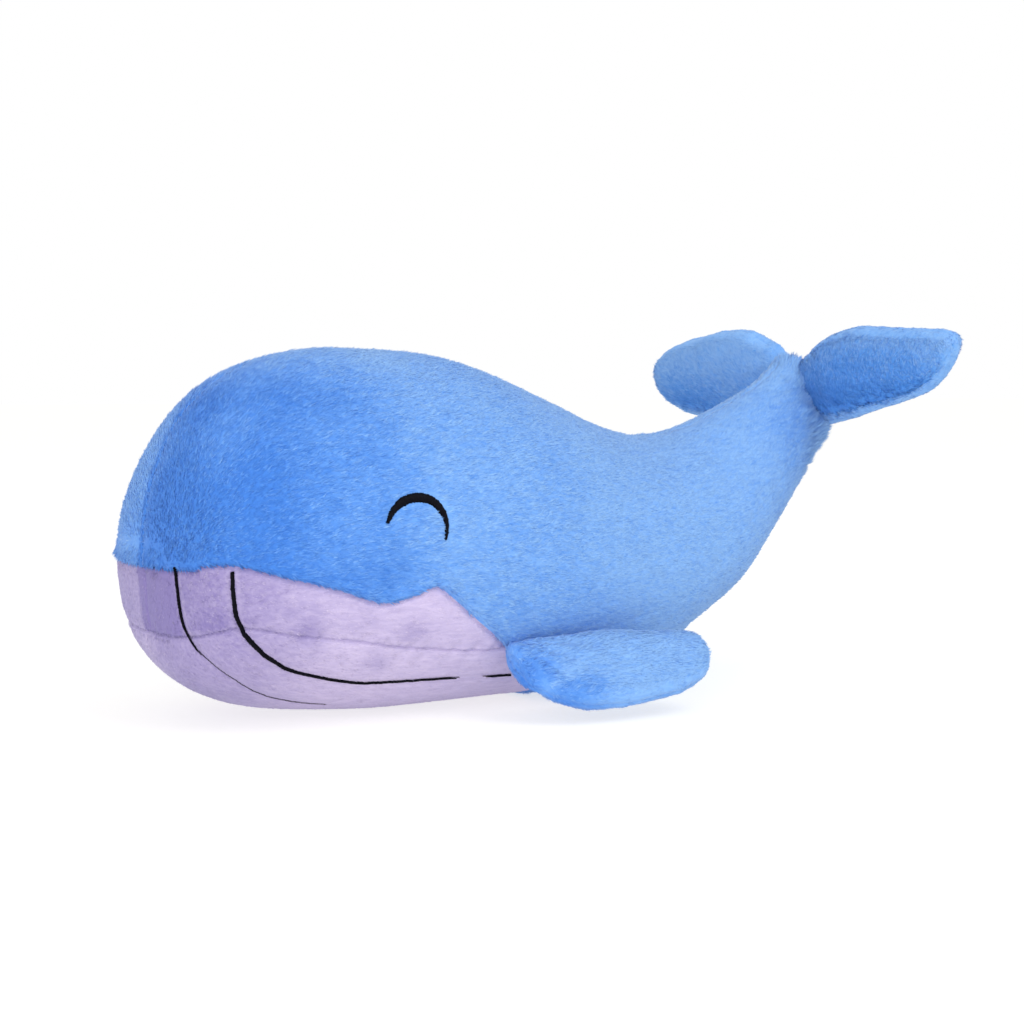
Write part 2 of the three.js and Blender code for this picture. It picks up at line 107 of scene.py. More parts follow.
def curve_points(knots, along):
    """Points of a smooth curve through knots, where along runs from 0 to 1."""
    knots = np.asarray(knots, float)
    first = 2 * knots[0] - knots[1]
    last = 2 * knots[-1] - knots[-2]
    padded = np.vstack([first, knots, last])
    place = np.clip(np.asarray(along, float), 0, 1) * (len(knots) - 1)
    start = np.minimum(np.floor(place).astype(int), len(knots) - 2)
    t = (place - start)[:, None]
    before, here, there, after = (padded[start + k] for k in range(4))
    slope_here = (there - before) / 2
    slope_there = (after - here) / 2
    return (
        here
        + slope_here * t
        + (3 * (there - here) - 2 * slope_here - slope_there) * t**2
        + (2 * (here - there) + slope_here + slope_there) * t**3
    )


class Form:
    """A stuffed form: ribs as upper x and z, lower x and z, and width."""

    def __init__(self, ribs, egg):
        ribs = np.asarray(ribs, float)
        self.upper = ribs[:, [0, 4, 1]]
        self.lower = ribs[:, [2, 4, 3]]
        self.egg = egg

    def skin(self, along, angle):
        top = curve_points(self.upper, along)
        bottom = curve_points(self.lower, along)
        lift = np.cos(angle)
        reach = np.maximum(top[:, 1], 0) * np.sin(angle) * (1 - self.egg * lift)
        x = (top[:, 0] + bottom[:, 0]) / 2 + (top[:, 0] - bottom[:, 0]) / 2 * lift
        z = (top[:, 2] + bottom[:, 2]) / 2 + (top[:, 2] - bottom[:, 2]) / 2 * lift
        return np.column_stack([x, reach, z])

    def from_ball(self, ball):
        """A point of the unit ball goes to the skin: -X is the first rib's end."""
        along = np.arccos(np.clip(-ball[:, 0], -1, 1)) / math.pi
        angle = np.arctan2(ball[:, 1], ball[:, 2])
        return self.skin(along, angle)


# %% [markdown]
# ## The body's ribs and seams
#
# The shares below are the same as in the CAD source: places along the body's length
# and height, and widths of its full width. The seams are drawn in the side view. Each
# seam is a field, a number that is zero on the seam and changes sign across it.

# %% Body sizes, ribs and seams
BODY_LENGTH = 265 * MM
BODY_HEIGHT = 113 * MM
BODY_WIDTH = 109 * MM
BELLY_FLAT = 0.5 * MM
BODY_EGG_SHARE = 0.15
BODY_RIB_SHARES = [
    [0, 0.463, 0, 0.463, 0],
    [0.003, 0.559, 0.003, 0.366, 0.239],
    [0.012, 0.665, 0.009, 0.269, 0.44],
    [0.028, 0.762, 0.019, 0.189, 0.606],
    [0.051, 0.841, 0.04, 0.123, 0.734],
    [0.087, 0.91, 0.072, 0.073, 0.844],
    [0.134, 0.962, 0.119, 0.036, 0.927],
    [0.198, 0.995, 0.183, 0.013, 0.982],
    [0.274, 1, 0.258, 0, 1],
    [0.357, 0.984, 0.342, 0, 1],
    [0.44, 0.935, 0.425, 0, 0.972],
    [0.523, 0.859, 0.511, 0.001, 0.908],
    [0.594, 0.789, 0.594, 0.031, 0.826],
    [0.662, 0.749, 0.674, 0.093, 0.734],
    [0.723, 0.749, 0.743, 0.181, 0.633],
    [0.775, 0.78, 0.806, 0.273, 0.532],
    [0.828, 0.833, 0.86, 0.383, 0.44],
    [0.872, 0.881, 0.911, 0.507, 0.358],
    [0.911, 0.93, 0.955, 0.626, 0.284],
    [0.943, 0.974, 0.992, 0.731, 0.22],
    [0.974, 0.863, 0.974, 0.863, 0],
]
LIP_SEAM_SHARES = [
    [-0.1, 0.428],
    [0.004, 0.43],
    [0.02, 0.448],
    [0.045, 0.45],
    [0.1, 0.414],
    [0.144, 0.386],
    [0.195, 0.346],
    [0.23, 0.357],
    [0.262, 0.379],
    [0.29, 0.335],
    [0.321, 0.279],
    [0.358, 0.216],
    [0.4, 0.13],
]
GUSSET_SEAM_SHARES = [
    [-0.1, 0.235],
    [0, 0.245],
    [0.05, 0.285],
    [0.11, 0.264],
    [0.18, 0.24],
    [0.25, 0.21],
    [0.36, 0.188],
    [0.45, 0.21],
    [0.55, 0.24],
    [0.64, 0.28],
    [0.71, 0.37],
    [0.79, 0.495],
    [0.85, 0.59],
    [0.89, 0.71],
    [0.92, 0.79],
    [0.97, 0.815],
    [1.1, 0.82],
]
BELLY_END_SHARE = 0.47


def body_x(share):
    return (share - 0.5) * BODY_LENGTH


def body_z(share):
    return share * (BODY_HEIGHT + BELLY_FLAT) - BELLY_FLAT


body_form = Form(
    [
        [body_x(a), body_z(b), body_x(c), body_z(d), w * BODY_WIDTH / 2]
        for a, b, c, d, w in BODY_RIB_SHARES
    ],
    BODY_EGG_SHARE,
)


class Seam:
    """A seam drawn in the side view: its height over x."""

    def __init__(self, shares):
        knots = [[body_x(x), body_z(z)] for x, z in shares]
        self.line = curve_points(knots, np.linspace(0, 1, 400))
        self.slope = np.gradient(self.line[:, 1]) / np.gradient(self.line[:, 0])

    def field(self, points):
        return points[:, 2] - np.interp(points[:, 0], self.line[:, 0], self.line[:, 1])

    def gradient(self, points):
        slope = np.interp(points[:, 0], self.line[:, 0], self.slope)
        zero = np.zeros(len(points))
        return np.column_stack([-slope, zero, zero + 1])


lip_seam = Seam(LIP_SEAM_SHARES)
gusset_seam = Seam(GUSSET_SEAM_SHARES)
print("seams drawn:", len(LIP_SEAM_SHARES) + len(GUSSET_SEAM_SHARES), "knots")

# %% [markdown]
# ## One fine skin for the whole body
#
# The panels of a sewn toy share one smooth form, so the skin is made in one piece and
# parted along the seams later. It starts as a ball of even triangles, which has no
# crowded poles. Its triangles are divided again near the seams, and the corners next
# to a seam are slid onto it, so each panel gets a clean sewn edge.

# %% Panels as numbers, and the fields that part them
SIDE, LIP, BELLY, UNDER_TAIL = 0, 1, 2, 3
LIP_SEAM, GUSSET_SEAM, MIDDLE_SEAM, BELLY_END = 0, 1, 2, 3
NAMES = {
    (SIDE, -1): "left_side_panel",
    (SIDE, 1): "right_side_panel",
    (LIP, -1): "left_lip_panel",
    (LIP, 1): "right_lip_panel",
    (BELLY, 0): "belly_panel",
    (UNDER_TAIL, 0): "tail_underside_panel",
}


def panel_of(points):
    """Which panel each point lies on, and on which side of the whale."""
    below_gusset = gusset_seam.field(points) < 0
    below = np.where(points[:, 0] < body_x(BELLY_END_SHARE), BELLY, UNDER_TAIL)
    above = np.where(lip_seam.field(points) < 0, LIP, SIDE)
    side = np.where(points[:, 1] < 0, -1, 1)
    return np.where(below_gusset, below, above), np.where(below_gusset, 0, side)


def seam_fields(points):
    """The four fields: lip seam, gusset seam, middle seam and the belly's end."""
    return np.column_stack([
        lip_seam.field(points),
        gusset_seam.field(points),
        points[:, 1],
        points[:, 0] - body_x(BELLY_END_SHARE),
    ])


def parting_field(kind_a, side_a, kind_b, side_b):
    """Which field parts two panels, or -1 where both are one panel."""
    which = np.full(len(kind_a), -1)
    upper_a, upper_b = kind_a < BELLY, kind_b < BELLY
    which[(side_a != side_b) & upper_a & upper_b] = MIDDLE_SEAM
    which[(kind_a != kind_b) & upper_a & upper_b] = LIP_SEAM
    which[(kind_a != kind_b) & ~upper_a & ~upper_b] = BELLY_END
    which[upper_a != upper_b] = GUSSET_SEAM
    return which


# %% Work on the corners of a ball
LEAST_SLOPE = 0.04  # squared; keeps a distance finite where the skin lies along a field


def read_points(bm):
    return np.array([v.co[:] for v in bm.verts], float)


def place_points(bm, points):
    for v, place in zip(bm.verts, points):
        v.co = place


def divide_near(bm, near):
    """Halves each edge that has a near corner, and rounds the ball again."""
    edges = [e for e in bm.edges if near[e.verts[0].index] or near[e.verts[1].index]]
    bmesh.ops.subdivide_edges(bm, edges=edges, cuts=1)
    bmesh.ops.triangulate(bm, faces=[f for f in bm.faces if len(f.verts) > 3])
    for v in bm.verts:
        v.co.normalize()


def seam_distance(points, normals):
    """Distance along the skin to each of the four seams, from fields and slopes."""
    fields = seam_fields(points)
    zero = np.zeros(len(points))
    slopes = [
        lip_seam.gradient(points),
        gusset_seam.gradient(points),
        np.column_stack([zero, zero + 1, zero]),
        np.column_stack([zero + 1, zero, zero]),
    ]
    result = np.empty_like(fields)
    for k, slope in enumerate(slopes):
        into = (slope * normals).sum(axis=1)
        along_skin = np.sqrt(np.maximum((slope**2).sum(axis=1) - into**2, LEAST_SLOPE))
        result[:, k] = fields[:, k] / along_skin
    kind, _ = panel_of(points)
    upper = kind < BELLY
    result[~upper & (result[:, LIP_SEAM] < 0), LIP_SEAM] = FAR
    result[~upper, MIDDLE_SEAM] = FAR
    result[upper, BELLY_END] = FAR
    return result


def skin_normals(form, sphere):
    """Normals of a form's skin at points of the ball, from small steps on the ball."""
    step = 1e-4
    helper = np.where(np.abs(sphere[:, [0]]) < 0.9, [[1.0, 0, 0]], [[0, 1.0, 0]])
    across = unit(np.cross(sphere, helper))
    other = np.cross(sphere, across)

    def there(direction):
        return form.from_ball(unit(sphere + direction * step))

    return unit(np.cross(there(across) - there(-across), there(other) - there(-other)))


# %% The fine ball, divided again near the seams
BALL_DIVISIONS = 7
NEAR_SEAM = 6 * MM
VERY_NEAR_SEAM = 1.8 * MM

ball = bmesh.new()
bmesh.ops.create_icosphere(ball, subdivisions=BALL_DIVISIONS, radius=1)
for reach in (NEAR_SEAM, VERY_NEAR_SEAM):
    sphere = read_points(ball)
    distance = seam_distance(body_form.from_ball(sphere), skin_normals(body_form, sphere))
    ball.verts.index_update()
    divide_near(ball, np.abs(distance).min(axis=1) < reach)
    print("ball has", len(ball.verts), "points and", len(ball.faces), "triangles")


# %% Corners slid onto the seams
def slide_onto_seams(bm, form, label_points, fields_at, parting):
    """Moves the nearer end of every edge that crosses a seam onto that seam."""
    edges = np.array([[e.verts[0].index, e.verts[1].index] for e in bm.edges])
    sphere = read_points(bm)
    for _ in range(3):
        points = form.from_ball(sphere)
        labels = label_points(points)
        fields = fields_at(points)
        a, b = edges.T
        which = parting(*(part[a] for part in labels), *(part[b] for part in labels))
        crossing = np.nonzero(which >= 0)[0]
        fa = fields[a[crossing], which[crossing]]
        fb = fields[b[crossing], which[crossing]]
        true_cross = fa * fb <= 0
        crossing, fa, fb = crossing[true_cross], fa[true_cross], fb[true_cross]
        share = np.abs(fa) / np.maximum(np.abs(fa) + np.abs(fb), TINY)
        order = np.argsort(-np.minimum(share, 1 - share))
        crossing, share = crossing[order], share[order]
        mover = np.where(share < 0.5, a[crossing], b[crossing])
        target = sphere[a[crossing]] * (1 - share[:, None])
        target += sphere[b[crossing]] * share[:, None]
        sphere[mover] = unit(target)
    place_points(bm, sphere)
    return sphere


ball.verts.index_update()
sphere = slide_onto_seams(ball, body_form, panel_of, seam_fields, parting_field)
skin_points = body_form.from_ball(sphere)
skin_normal = skin_normals(body_form, sphere)
seam_reach = seam_distance(skin_points, skin_normal)
print("seams cut; nearest points", np.abs(seam_reach).min(axis=0).round(6))

# %% [markdown]
# ## How sewing and stuffing shape the cloth
#
# A seam draws the cloth in, and the filling pushes it out between the seams. Along a
# seam the cloth puckers into small waves. At the lip the blue pile stands thick over
# the thin lavender cloth. The satin stitch of the eyes and throat lines is pulled
# tight, so it sinks into the plush. All these are moves along the skin's normals.

# %% Lines of stitching, as places on the skin
EYE_SHARES = [
    [0.204, 0.97, 0.551],
    [0.214, 0.95, 0.583],
    [0.229, 0.94, 0.604],
    [0.246, 0.94, 0.611],
    [0.263, 0.95, 0.601],
    [0.273, 0.97, 0.574],
    [0.277, 0.98, 0.54],
    [0.274, 1, 0.503],
]
INNER_LINE_SHARES = [
    [0.006, 0.37, 0.428],
    [0.009, 0.376, 0.37],
    [0.012, 0.385, 0.31],
    [0.018, 0.4, 0.265],
    [0.031, 0.45, 0.21],
    [0.048, 0.473, 0.174],
    [0.071, 0.477, 0.132],
    [0.1, 0.44, 0.093],
    [0.143, 0.407, 0.06],
    [0.189, 0.38, 0.041],
]
OUTER_LINE_SHARES = [
    [0.04, 0.723, 0.436],
    [0.043, 0.72, 0.36],
    [0.049, 0.71, 0.297],
    [0.062, 0.717, 0.255],
    [0.084, 0.717, 0.204],
    [0.112, 0.71, 0.164],
    [0.139, 0.712, 0.144],
    [0.2, 0.697, 0.111],
    [0.26, 0.71, 0.105],
    [0.32, 0.71, 0.104],
    [0.4, 0.69, 0.098],
]
STITCH_SPACING = 0.3 * MM
RIGHT_INNER_LINE_SHIFT = 8.5 * MM  # further from the middle seam than on the left side

faces = [[v.index for v in f.verts] for f in ball.faces]
skin_tree = BVHTree.FromPolygons(skin_points.tolist(), faces)


def line_on_skin(shares, side, shift):
    """Evenly spaced places and normals on the skin, along a stitched line."""
    knots = np.array([
        [body_x(x), side * (y * BODY_WIDTH / 2 + shift), body_z(z)] for x, y, z in shares
    ])
    dense = curve_points(knots, np.linspace(0, 1, 600))
    hits = [skin_tree.find_nearest(Vector(p)) for p in dense]
    places = np.array([hit[0][:] for hit in hits])
    normals = np.array([hit[1][:] for hit in hits])
    lengths = np.linalg.norm(np.diff(places, axis=0), axis=1)
    run = np.concatenate([[0], np.cumsum(lengths)])
    at = np.linspace(0, run[-1], int(run[-1] / STITCH_SPACING))

    def evenly(values):
        return np.column_stack([np.interp(at, run, values[:, k]) for k in range(3)])

    return evenly(places), unit(evenly(normals))


CLOSED_SHARE = 0.12  # under this share of its width the pile has closed over the thread
INNER_WIDTH_SHARES = [0.62, 0.62, 0.56, 0.3, 0.17, 0.14, 0.14, 0.16, 0.14, 0.14, 0.14]
OUTER_WIDTH_SHARES = [
    0.68, 0.68, 0.7, 0.78, 0.85, 0.84, 0.68, 0.54, 0.44, 0.39,
    0.36, 0.33, 0.3, 0.28, 0.27, 0.26, 0.26, 0.05, 0.05, 0.3, 0.3,
]
LINE_KINDS = {
    "eye_stitch": (EYE_SHARES, 3.5 * MM, [0.3, 0.62, 0.88, 1, 0.98, 0.72, 0.42, 0.22]),
    "inner_throat_line": (INNER_LINE_SHARES, 1.3 * MM, INNER_WIDTH_SHARES),
    "outer_throat_line": (OUTER_LINE_SHARES, 2 * MM, OUTER_WIDTH_SHARES),
}
stitch_lines = {}
for word, side in (("left", -1), ("right", 1)):
    for kind, (shares, width, width_shares) in LINE_KINDS.items():
        shift = RIGHT_INNER_LINE_SHIFT if side > 0 and "inner" in kind else 0
        places, normals = line_on_skin(shares, side, shift)
        at = np.linspace(0, 1, len(places))
        knots = np.linspace(0, 1, len(width_shares))
        widths = width * np.interp(at, knots, width_shares)
        stitch_lines[f"{word}_{kind}"] = (places, normals, widths)
print({name: len(line[0]) for name, line in stitch_lines.items()}, "stitches")


# %% Distance to the stitching
def tree_of(points):
    tree = KDTree(len(points))
    for i, point in enumerate(points):
        tree.insert(point, i)
    tree.balance()
    return tree


def distance_to(points, targets):
    tree = tree_of(targets)
    return np.array([tree.find(p)[2] for p in points])


SUNK_LINE = "right_inner_throat_line"  # this thread lies deep in the pile
SUNK_LINE_CLEARANCE = 0.3 * MM
THIN_HALF_WIDTH = 0.2 * MM
THIN_LINE_COVER = 0.22 * MM  # the pile reaches this far over the thinnest thread

eye_points = np.vstack([v[0] for k, v in stitch_lines.items() if "eye" in k])
line_points = np.vstack([v[0] for k, v in stitch_lines.items() if "line" in k])
eye_reach = distance_to(skin_points, eye_points)
line_reach = distance_to(skin_points, line_points)
stitch_half = np.concatenate([v[2] / 2 for v in stitch_lines.values()])
stitch_half -= np.where(stitch_half < THIN_HALF_WIDTH, THIN_LINE_COVER, 0)
sunk = np.concatenate([np.full(len(v[0]), k == SUNK_LINE) for k, v in stitch_lines.items()])
stitch_half += np.where(sunk, SUNK_LINE_CLEARANCE, 0)
stitch_tree = tree_of(np.vstack([v[0] for v in stitch_lines.values()]))


def stitch_clearance(points):
    """How far points are from the edge of the nearest stitched line."""
    found = [stitch_tree.find(p) for p in points]
    return np.array([hit[2] - stitch_half[hit[1]] for hit in found])


# %% Soft noise and bell curves
def soft_noise(points, size, seed=0):
    """Smooth noise from -1 to 1 with features of one size, the same on each run."""
    shift = Vector((seed * 13.7, seed * 5.1, seed * 29.3))
    return np.array([noise.noise(Vector(p) / size + shift) for p in points])


def bell(distance, width):
    return np.exp(-((distance / width) ** 2))


def spot(a, b, middle, reach):
    """1 in the middle of an oval over two values, and 0 far from it."""
    return np.exp(-(((a - middle[0]) / reach[0]) ** 2) - ((b - middle[1]) / reach[1]) ** 2)


def dome(points, centre, sizes):
    """1 in the middle of an oval region, given in mm, and 0 far from it."""
    away = (points - np.array(centre) * MM) / (np.array(sizes) * MM)
    return np.exp(-(away**2).sum(axis=1))


# %% Shape the body's cloth
PILE_SUNK = 0.6 * MM  # the cloth lies this far under the tips of the pile
LUMP_HEIGHT = 0.5 * MM
LUMP_SIZE = 30 * MM
PUCKER_HEIGHT = 0.35 * MM
PUCKER_SIZE = 5 * MM
TIGHT_PUCKER_HEIGHT = 0.4 * MM
TIGHT_PUCKER_SIZE = 2.6 * MM
GATHER_HEIGHT = 0.8 * MM
GATHER_SIZE = 3.2 * MM
GATHERS_START = 100 * MM
GATHERS_GROW_OVER = 16 * MM
LIP_ROLL_HEIGHT = 0.8 * MM  # the blue pile over the lip seam
LIP_ROLL_AT_NOSE = 0.45 * MM
DEEPEST_MOVE = 2.2 * MM
FLOOR_GAP = 0.2 * MM
BLUE_START_SHARE = 0.42  # from here on the lower seam joins blue to blue
# Corrections of the form in mm: height, middle and reach. The forehead goes in, and
# the chin, the rear underside and the end of the stock go out.
FORM_CORRECTIONS = [
    (-1.1, (-126, 4, 84), (16, 24, 18)),
    (0.9, (-124, 4, 26), (12, 26, 12)),
    (1.1, (72, -24, 40), (16, 22, 16)),
    (1.6, (112, 0, 108), (7, 9, 7)),
]


def grow(values, start, over):
    """0 before start, and then evenly up to 1."""
    return np.clip((values - start) / over, 0, 1)


lip_reach, gusset_reach, middle_reach, end_reach = seam_reach.T
# Grooves in mm: how far points are from one, its depth and its width.
GROOVES = [
    (middle_reach, 0.5, 0.7),
    (middle_reach, 0.3, 4),
    (end_reach, 0.6, 0.8),
    (line_reach, 0.35, 1.4),
    (line_reach, 0.3, 4),
    (eye_reach, 0.35, 2),
]
nearest_seam = np.abs(seam_reach).min(axis=1)
kind, _ = panel_of(skin_points)
lavender = (kind == LIP) | (kind == BELLY)
blue_over = lip_reach >= 0
in_blue = grow(skin_points[:, 0], body_x(BLUE_START_SHARE), 10 * MM)
at_nose = grow(-skin_points[:, 0], 118 * MM, 8 * MM)

move = LUMP_HEIGHT * soft_noise(skin_points, LUMP_SIZE) - PILE_SUNK
roll = LIP_ROLL_HEIGHT + (LIP_ROLL_AT_NOSE - LIP_ROLL_HEIGHT) * at_nose
move += np.where(blue_over, roll * bell(lip_reach - 1.6 * MM, 2 * MM), 0)
move -= np.where(blue_over, 0.5 * MM * bell(lip_reach, 0.6 * MM), 0.9 * MM * bell(lip_reach, 1.2 * MM))
gusset_groove = 0.7 * bell(gusset_reach, 0.5 * MM) + 0.3 * bell(gusset_reach, 2.6 * MM)
move -= MM * gusset_groove * (1 - 0.85 * in_blue)
for away, depth, width in GROOVES:
    move -= depth * MM * bell(away, width * MM)
puckers = soft_noise(skin_points * [1, 1, 0.6], PUCKER_SIZE, seed=3)
move += PUCKER_HEIGHT * puckers * bell(nearest_seam, 5 * MM)
tight_puckers = soft_noise(skin_points * [1, 1, 0.4], TIGHT_PUCKER_SIZE, seed=13)
move += TIGHT_PUCKER_HEIGHT * tight_puckers * bell(gusset_reach - 1.2 * MM, 2 * MM) * (1 - in_blue)
sunk_reach = distance_to(skin_points, stitch_lines[SUNK_LINE][0])
move += 0.4 * MM * bell(sunk_reach - 2.4 * MM, 1.2 * MM) - 0.3 * MM * bell(sunk_reach, 1.4 * MM)
gathers = soft_noise(skin_points * [0.45, 1, 1], GATHER_SIZE, seed=4)
move += GATHER_HEIGHT * gathers * grow(skin_points[:, 0], GATHERS_START, GATHERS_GROW_OVER)
for height, middle, reach in FORM_CORRECTIONS:
    move += height * MM * dome(skin_points, middle, reach)
move = np.maximum(move, -DEEPEST_MOVE)
cloth_points = skin_points + skin_normal * move[:, None]
cloth_points[:, 2] = np.maximum(cloth_points[:, 2], FLOOR_GAP)
print("cloth moved by", (move.min() / MM).round(2), "to", (move.max() / MM).round(2), "mm")

# %% [markdown]
# ## Brushed zones
#
# Plush looks dark where its pile leans to the eye and light where it leans away. On
# this toy the forehead and the front of the cheeks were stroked against the nap, so
# they are a deep blue that fades into the light blue of the side. The zone is kept as
# a number on each corner, named nap_and_painted_light, with painted light and shade
# added to it: a lighter top of the head, painted sheen beside the middle seam near the
# nose, painted shade along the front seams and a painted contact shadow under the body.
# 0 is the dark cloth and 1 the light cloth.


# %% Where the body's nap is dark and light, and where light and shade are painted
# Each mark has how much lighter it is, and its middle and reach in mm.
LEFT_MARKS = [
    (-0.34, (-131, -11, 62), (13, 9, 20)),
    (-0.12, (-124, -28, 66), (10, 12, 20)),
    (-0.3, (-113, -40, 68), (7, 9, 20)),
    (-0.26, (-118, -9, 95), (8, 8, 6)),
    (-0.14, (-95, -29, 97), (14, 12, 8)),
    (-0.16, (-83, -54, 46), (14, 10, 7)),
    (0.14, (-116, -24, 88), (10, 10, 12)),
]
BOTH_SIDES_MARKS_AND_SHADOW = [
    (-0.22, (104, -15, 86), (12, 20, 12)),
    (0.25, (110, -4, 104), (7, 7, 6)),
    # painted contact shadow low on the body's underside beside the flippers, on both sides
    (-0.6, (-4, -20, 3), (14, 20, 7)),
]
# Each fade has how much lighter the cloth gets, and where along x in mm.
BLUE_FADES = [(0.2, -108, -84), (0.34, -84, -56), (0.14, -20, 10)]
LIP_FADES = [(-0.36, -92, -122), (-0.18, -104, -122), (0.05, -85, -70)]
BELLY_FADES = [(-0.36, -92, -122), (0.18, -105, -80)]
LEFT_LIP_MARK = (-0.15, (-125, -33, 33), (8, 8, 4))
BOTH_LIPS_MARK = (-0.14, (-101, -47, 40), (13, 12, 9))
LAVENDER_SPOTS = [
    (-0.3, (-79, -45, 20), (4.5, 9, 4)),
    (-0.3, (-69, -51, 29), (4.5, 9, 4)),
    (-0.3, (-101, -47, 31), (4.5, 9, 4)),
]
# The left half's marks are mirrored to the right half, but there they begin further
# from the middle seam: next to the seam the right half is light, partly from its other
# pile direction and partly as painted sheen.
FAR_SIDE_SHIFT = 18 * MM
FAR_SIDE_START = 2.2 * MM


def ease(start, end, values):
    """0 before start, 1 after end, and smooth between them."""
    share = np.clip((values - start) / (end - start), 0, 1)
    return share * share * (3 - 2 * share)


def add_marks(marks, points):
    return sum(amount * dome(points, middle, reach) for amount, middle, reach in marks)


def add_fades(fades, x):
    return sum(amount * ease(start, end, x) for amount, start, end in fades)


# %% Nap of the body, with painted light and shade
mirrored = skin_points.copy()
mirrored[:, 1] = -np.abs(mirrored[:, 1])
ragged_y = skin_points[:, 1] + 0.8 * MM * soft_noise(skin_points, 1.8 * MM, seed=14)
far_side = ragged_y > FAR_SIDE_START
folded = mirrored.copy()
folded[far_side, 1] = np.minimum(folded[far_side, 1] + FAR_SIDE_SHIFT, 0)
x, y, _ = (folded / MM).T
in_lip = kind == LIP
to_nose = ease(-108, -124, x)

blue_nap_and_painted_light = 0.22 + add_fades(BLUE_FADES, x)
blue_nap_and_painted_light += add_marks(LEFT_MARKS, folded) + add_marks(BOTH_SIDES_MARKS_AND_SHADOW, mirrored)
# painted light: the cloth that faces up on the head is lighter, as the top catches more light
blue_nap_and_painted_light += 0.3 * ease(0.72, 0.97, skin_normal[:, 2]) * ease(-40, -70, x)
blue_nap_and_painted_light -= 0.14 * bell(lip_reach - 1.5 * MM, 2.5 * MM) * ease(-95, -110, x)
# the far side near the nose is lighter: partly its other pile direction, partly painted sheen
blue_nap_and_painted_light += np.where(far_side, 0.42 * to_nose, 0)

lip_far_share = ease(3 * MM, 6 * MM, ragged_y)
lip_nap_and_painted_sheen = 0.77 + add_fades(LIP_FADES, x)
lip_nap_and_painted_sheen -= 0.28 * ease(-23, -18, y) * (1 - lip_far_share)
# the far side of the lip near the nose is lighter: partly its other pile direction, partly painted
# sheen
lip_nap_and_painted_sheen += 0.16 * to_nose * lip_far_share + add_marks([BOTH_LIPS_MARK], folded)
lip_nap_and_painted_sheen += np.where(far_side, 0, add_marks([LEFT_LIP_MARK], folded))
lip_nap_and_painted_sheen += 0.16 * bell(gusset_reach, 1.6 * MM) * ease(-104, -122, x)
lip_nap_and_painted_sheen += 0.22 * bell(line_reach - 1.5 * MM, 0.6 * MM)
belly_nap_and_painted_sheen = 0.73 + add_fades(BELLY_FADES, x)
# the far side of the belly near the nose is lighter: partly its other pile direction, partly painted
# sheen
belly_nap_and_painted_sheen += 0.16 * to_nose * ease(-6 * MM, 9 * MM, skin_points[:, 1])
lavender_nap_and_painted_sheen = np.where(in_lip, lip_nap_and_painted_sheen, belly_nap_and_painted_sheen) + add_marks(LAVENDER_SPOTS, folded)

nap_and_painted_light = np.where(lavender, lavender_nap_and_painted_sheen, blue_nap_and_painted_light)
nap_and_painted_light += 0.07 * soft_noise(skin_points, 14 * MM, seed=5)
nap_and_painted_light += 0.07 * soft_noise(skin_points * [0.5, 1, 1], 3 * MM, seed=6)
# painted shade along the seams at the front of the body
nap_and_painted_light -= 0.1 * bell(nearest_seam, 0.8 * MM) * (1 - in_blue)
nap_and_painted_light = np.clip(nap_and_painted_light, 0, 1)
print("nap from", nap_and_painted_light.min().round(2), "to", nap_and_painted_light.max().round(2))


# %% Part the skin into its sewn panels
def write_layers(bm, values_by_name):
    """Keeps rows of numbers on a bmesh's corners, each row under its name."""
    for name, values in values_by_name.items():
        layer = bm.verts.layers.float.new(name)
        for v, value in zip(bm.verts, values):
            v[layer] = value


def object_of(mesh):
    piece = bpy.data.objects.new(mesh.name, mesh)
    bpy.context.collection.objects.link(piece)
    return piece


def new_piece(name, bm):
    """A bmesh becomes an object with its place in its mesh."""
    mesh = bpy.data.meshes.new(name)
    bm.to_mesh(mesh)
    bm.free()
    return object_of(mesh)


def cut_out(bm, kept, name):
    """The kept faces of a bmesh as an object of their own."""
    part = bm.copy()
    part.faces.ensure_lookup_table()
    leave = [part.faces[i] for i in np.nonzero(~kept)[0]]
    bmesh.ops.delete(part, geom=leave, context="FACES")
    return new_piece(name, part)


def smooth_faces(bm, turned_over=False):
    """Shades faces smoothly, and turns them over where the limb's axes mirror them."""
    for f in bm.faces:
        f.smooth = True
    if turned_over:
        bmesh.ops.reverse_faces(bm, faces=bm.faces)


place_points(ball, cloth_points)
smooth_faces(ball)
from_stitches = np.minimum(eye_reach, line_reach)
write_layers(ball, {"nap_and_painted_light": nap_and_painted_light, "from_stitches": from_stitches, "from_seams": nearest_seam})
face_kind, face_side = panel_of(skin_points[np.array(faces)].mean(axis=1))
panels = {}
for (panel_kind, panel_side), node in NAMES.items():
    inside = (face_kind == panel_kind) & (face_side == panel_side)
    panels[node] = cut_out(ball, inside, f"{node}_cloth")
    print(node, "has", len(panels[node].data.polygons), "triangles")
ball.free()

# %% [markdown]
# ## Flippers and flukes
#
# Each limb is a small pillow: two cut pieces of plush, sewn round the edge and stuffed.
# It is shaped in its own axes, where x runs along it, y points out of its upper face
# and z runs across it, and then put in its place on the body. The seam round the edge
# draws in the cloth, and near the root the cloth folds where it meets the body.

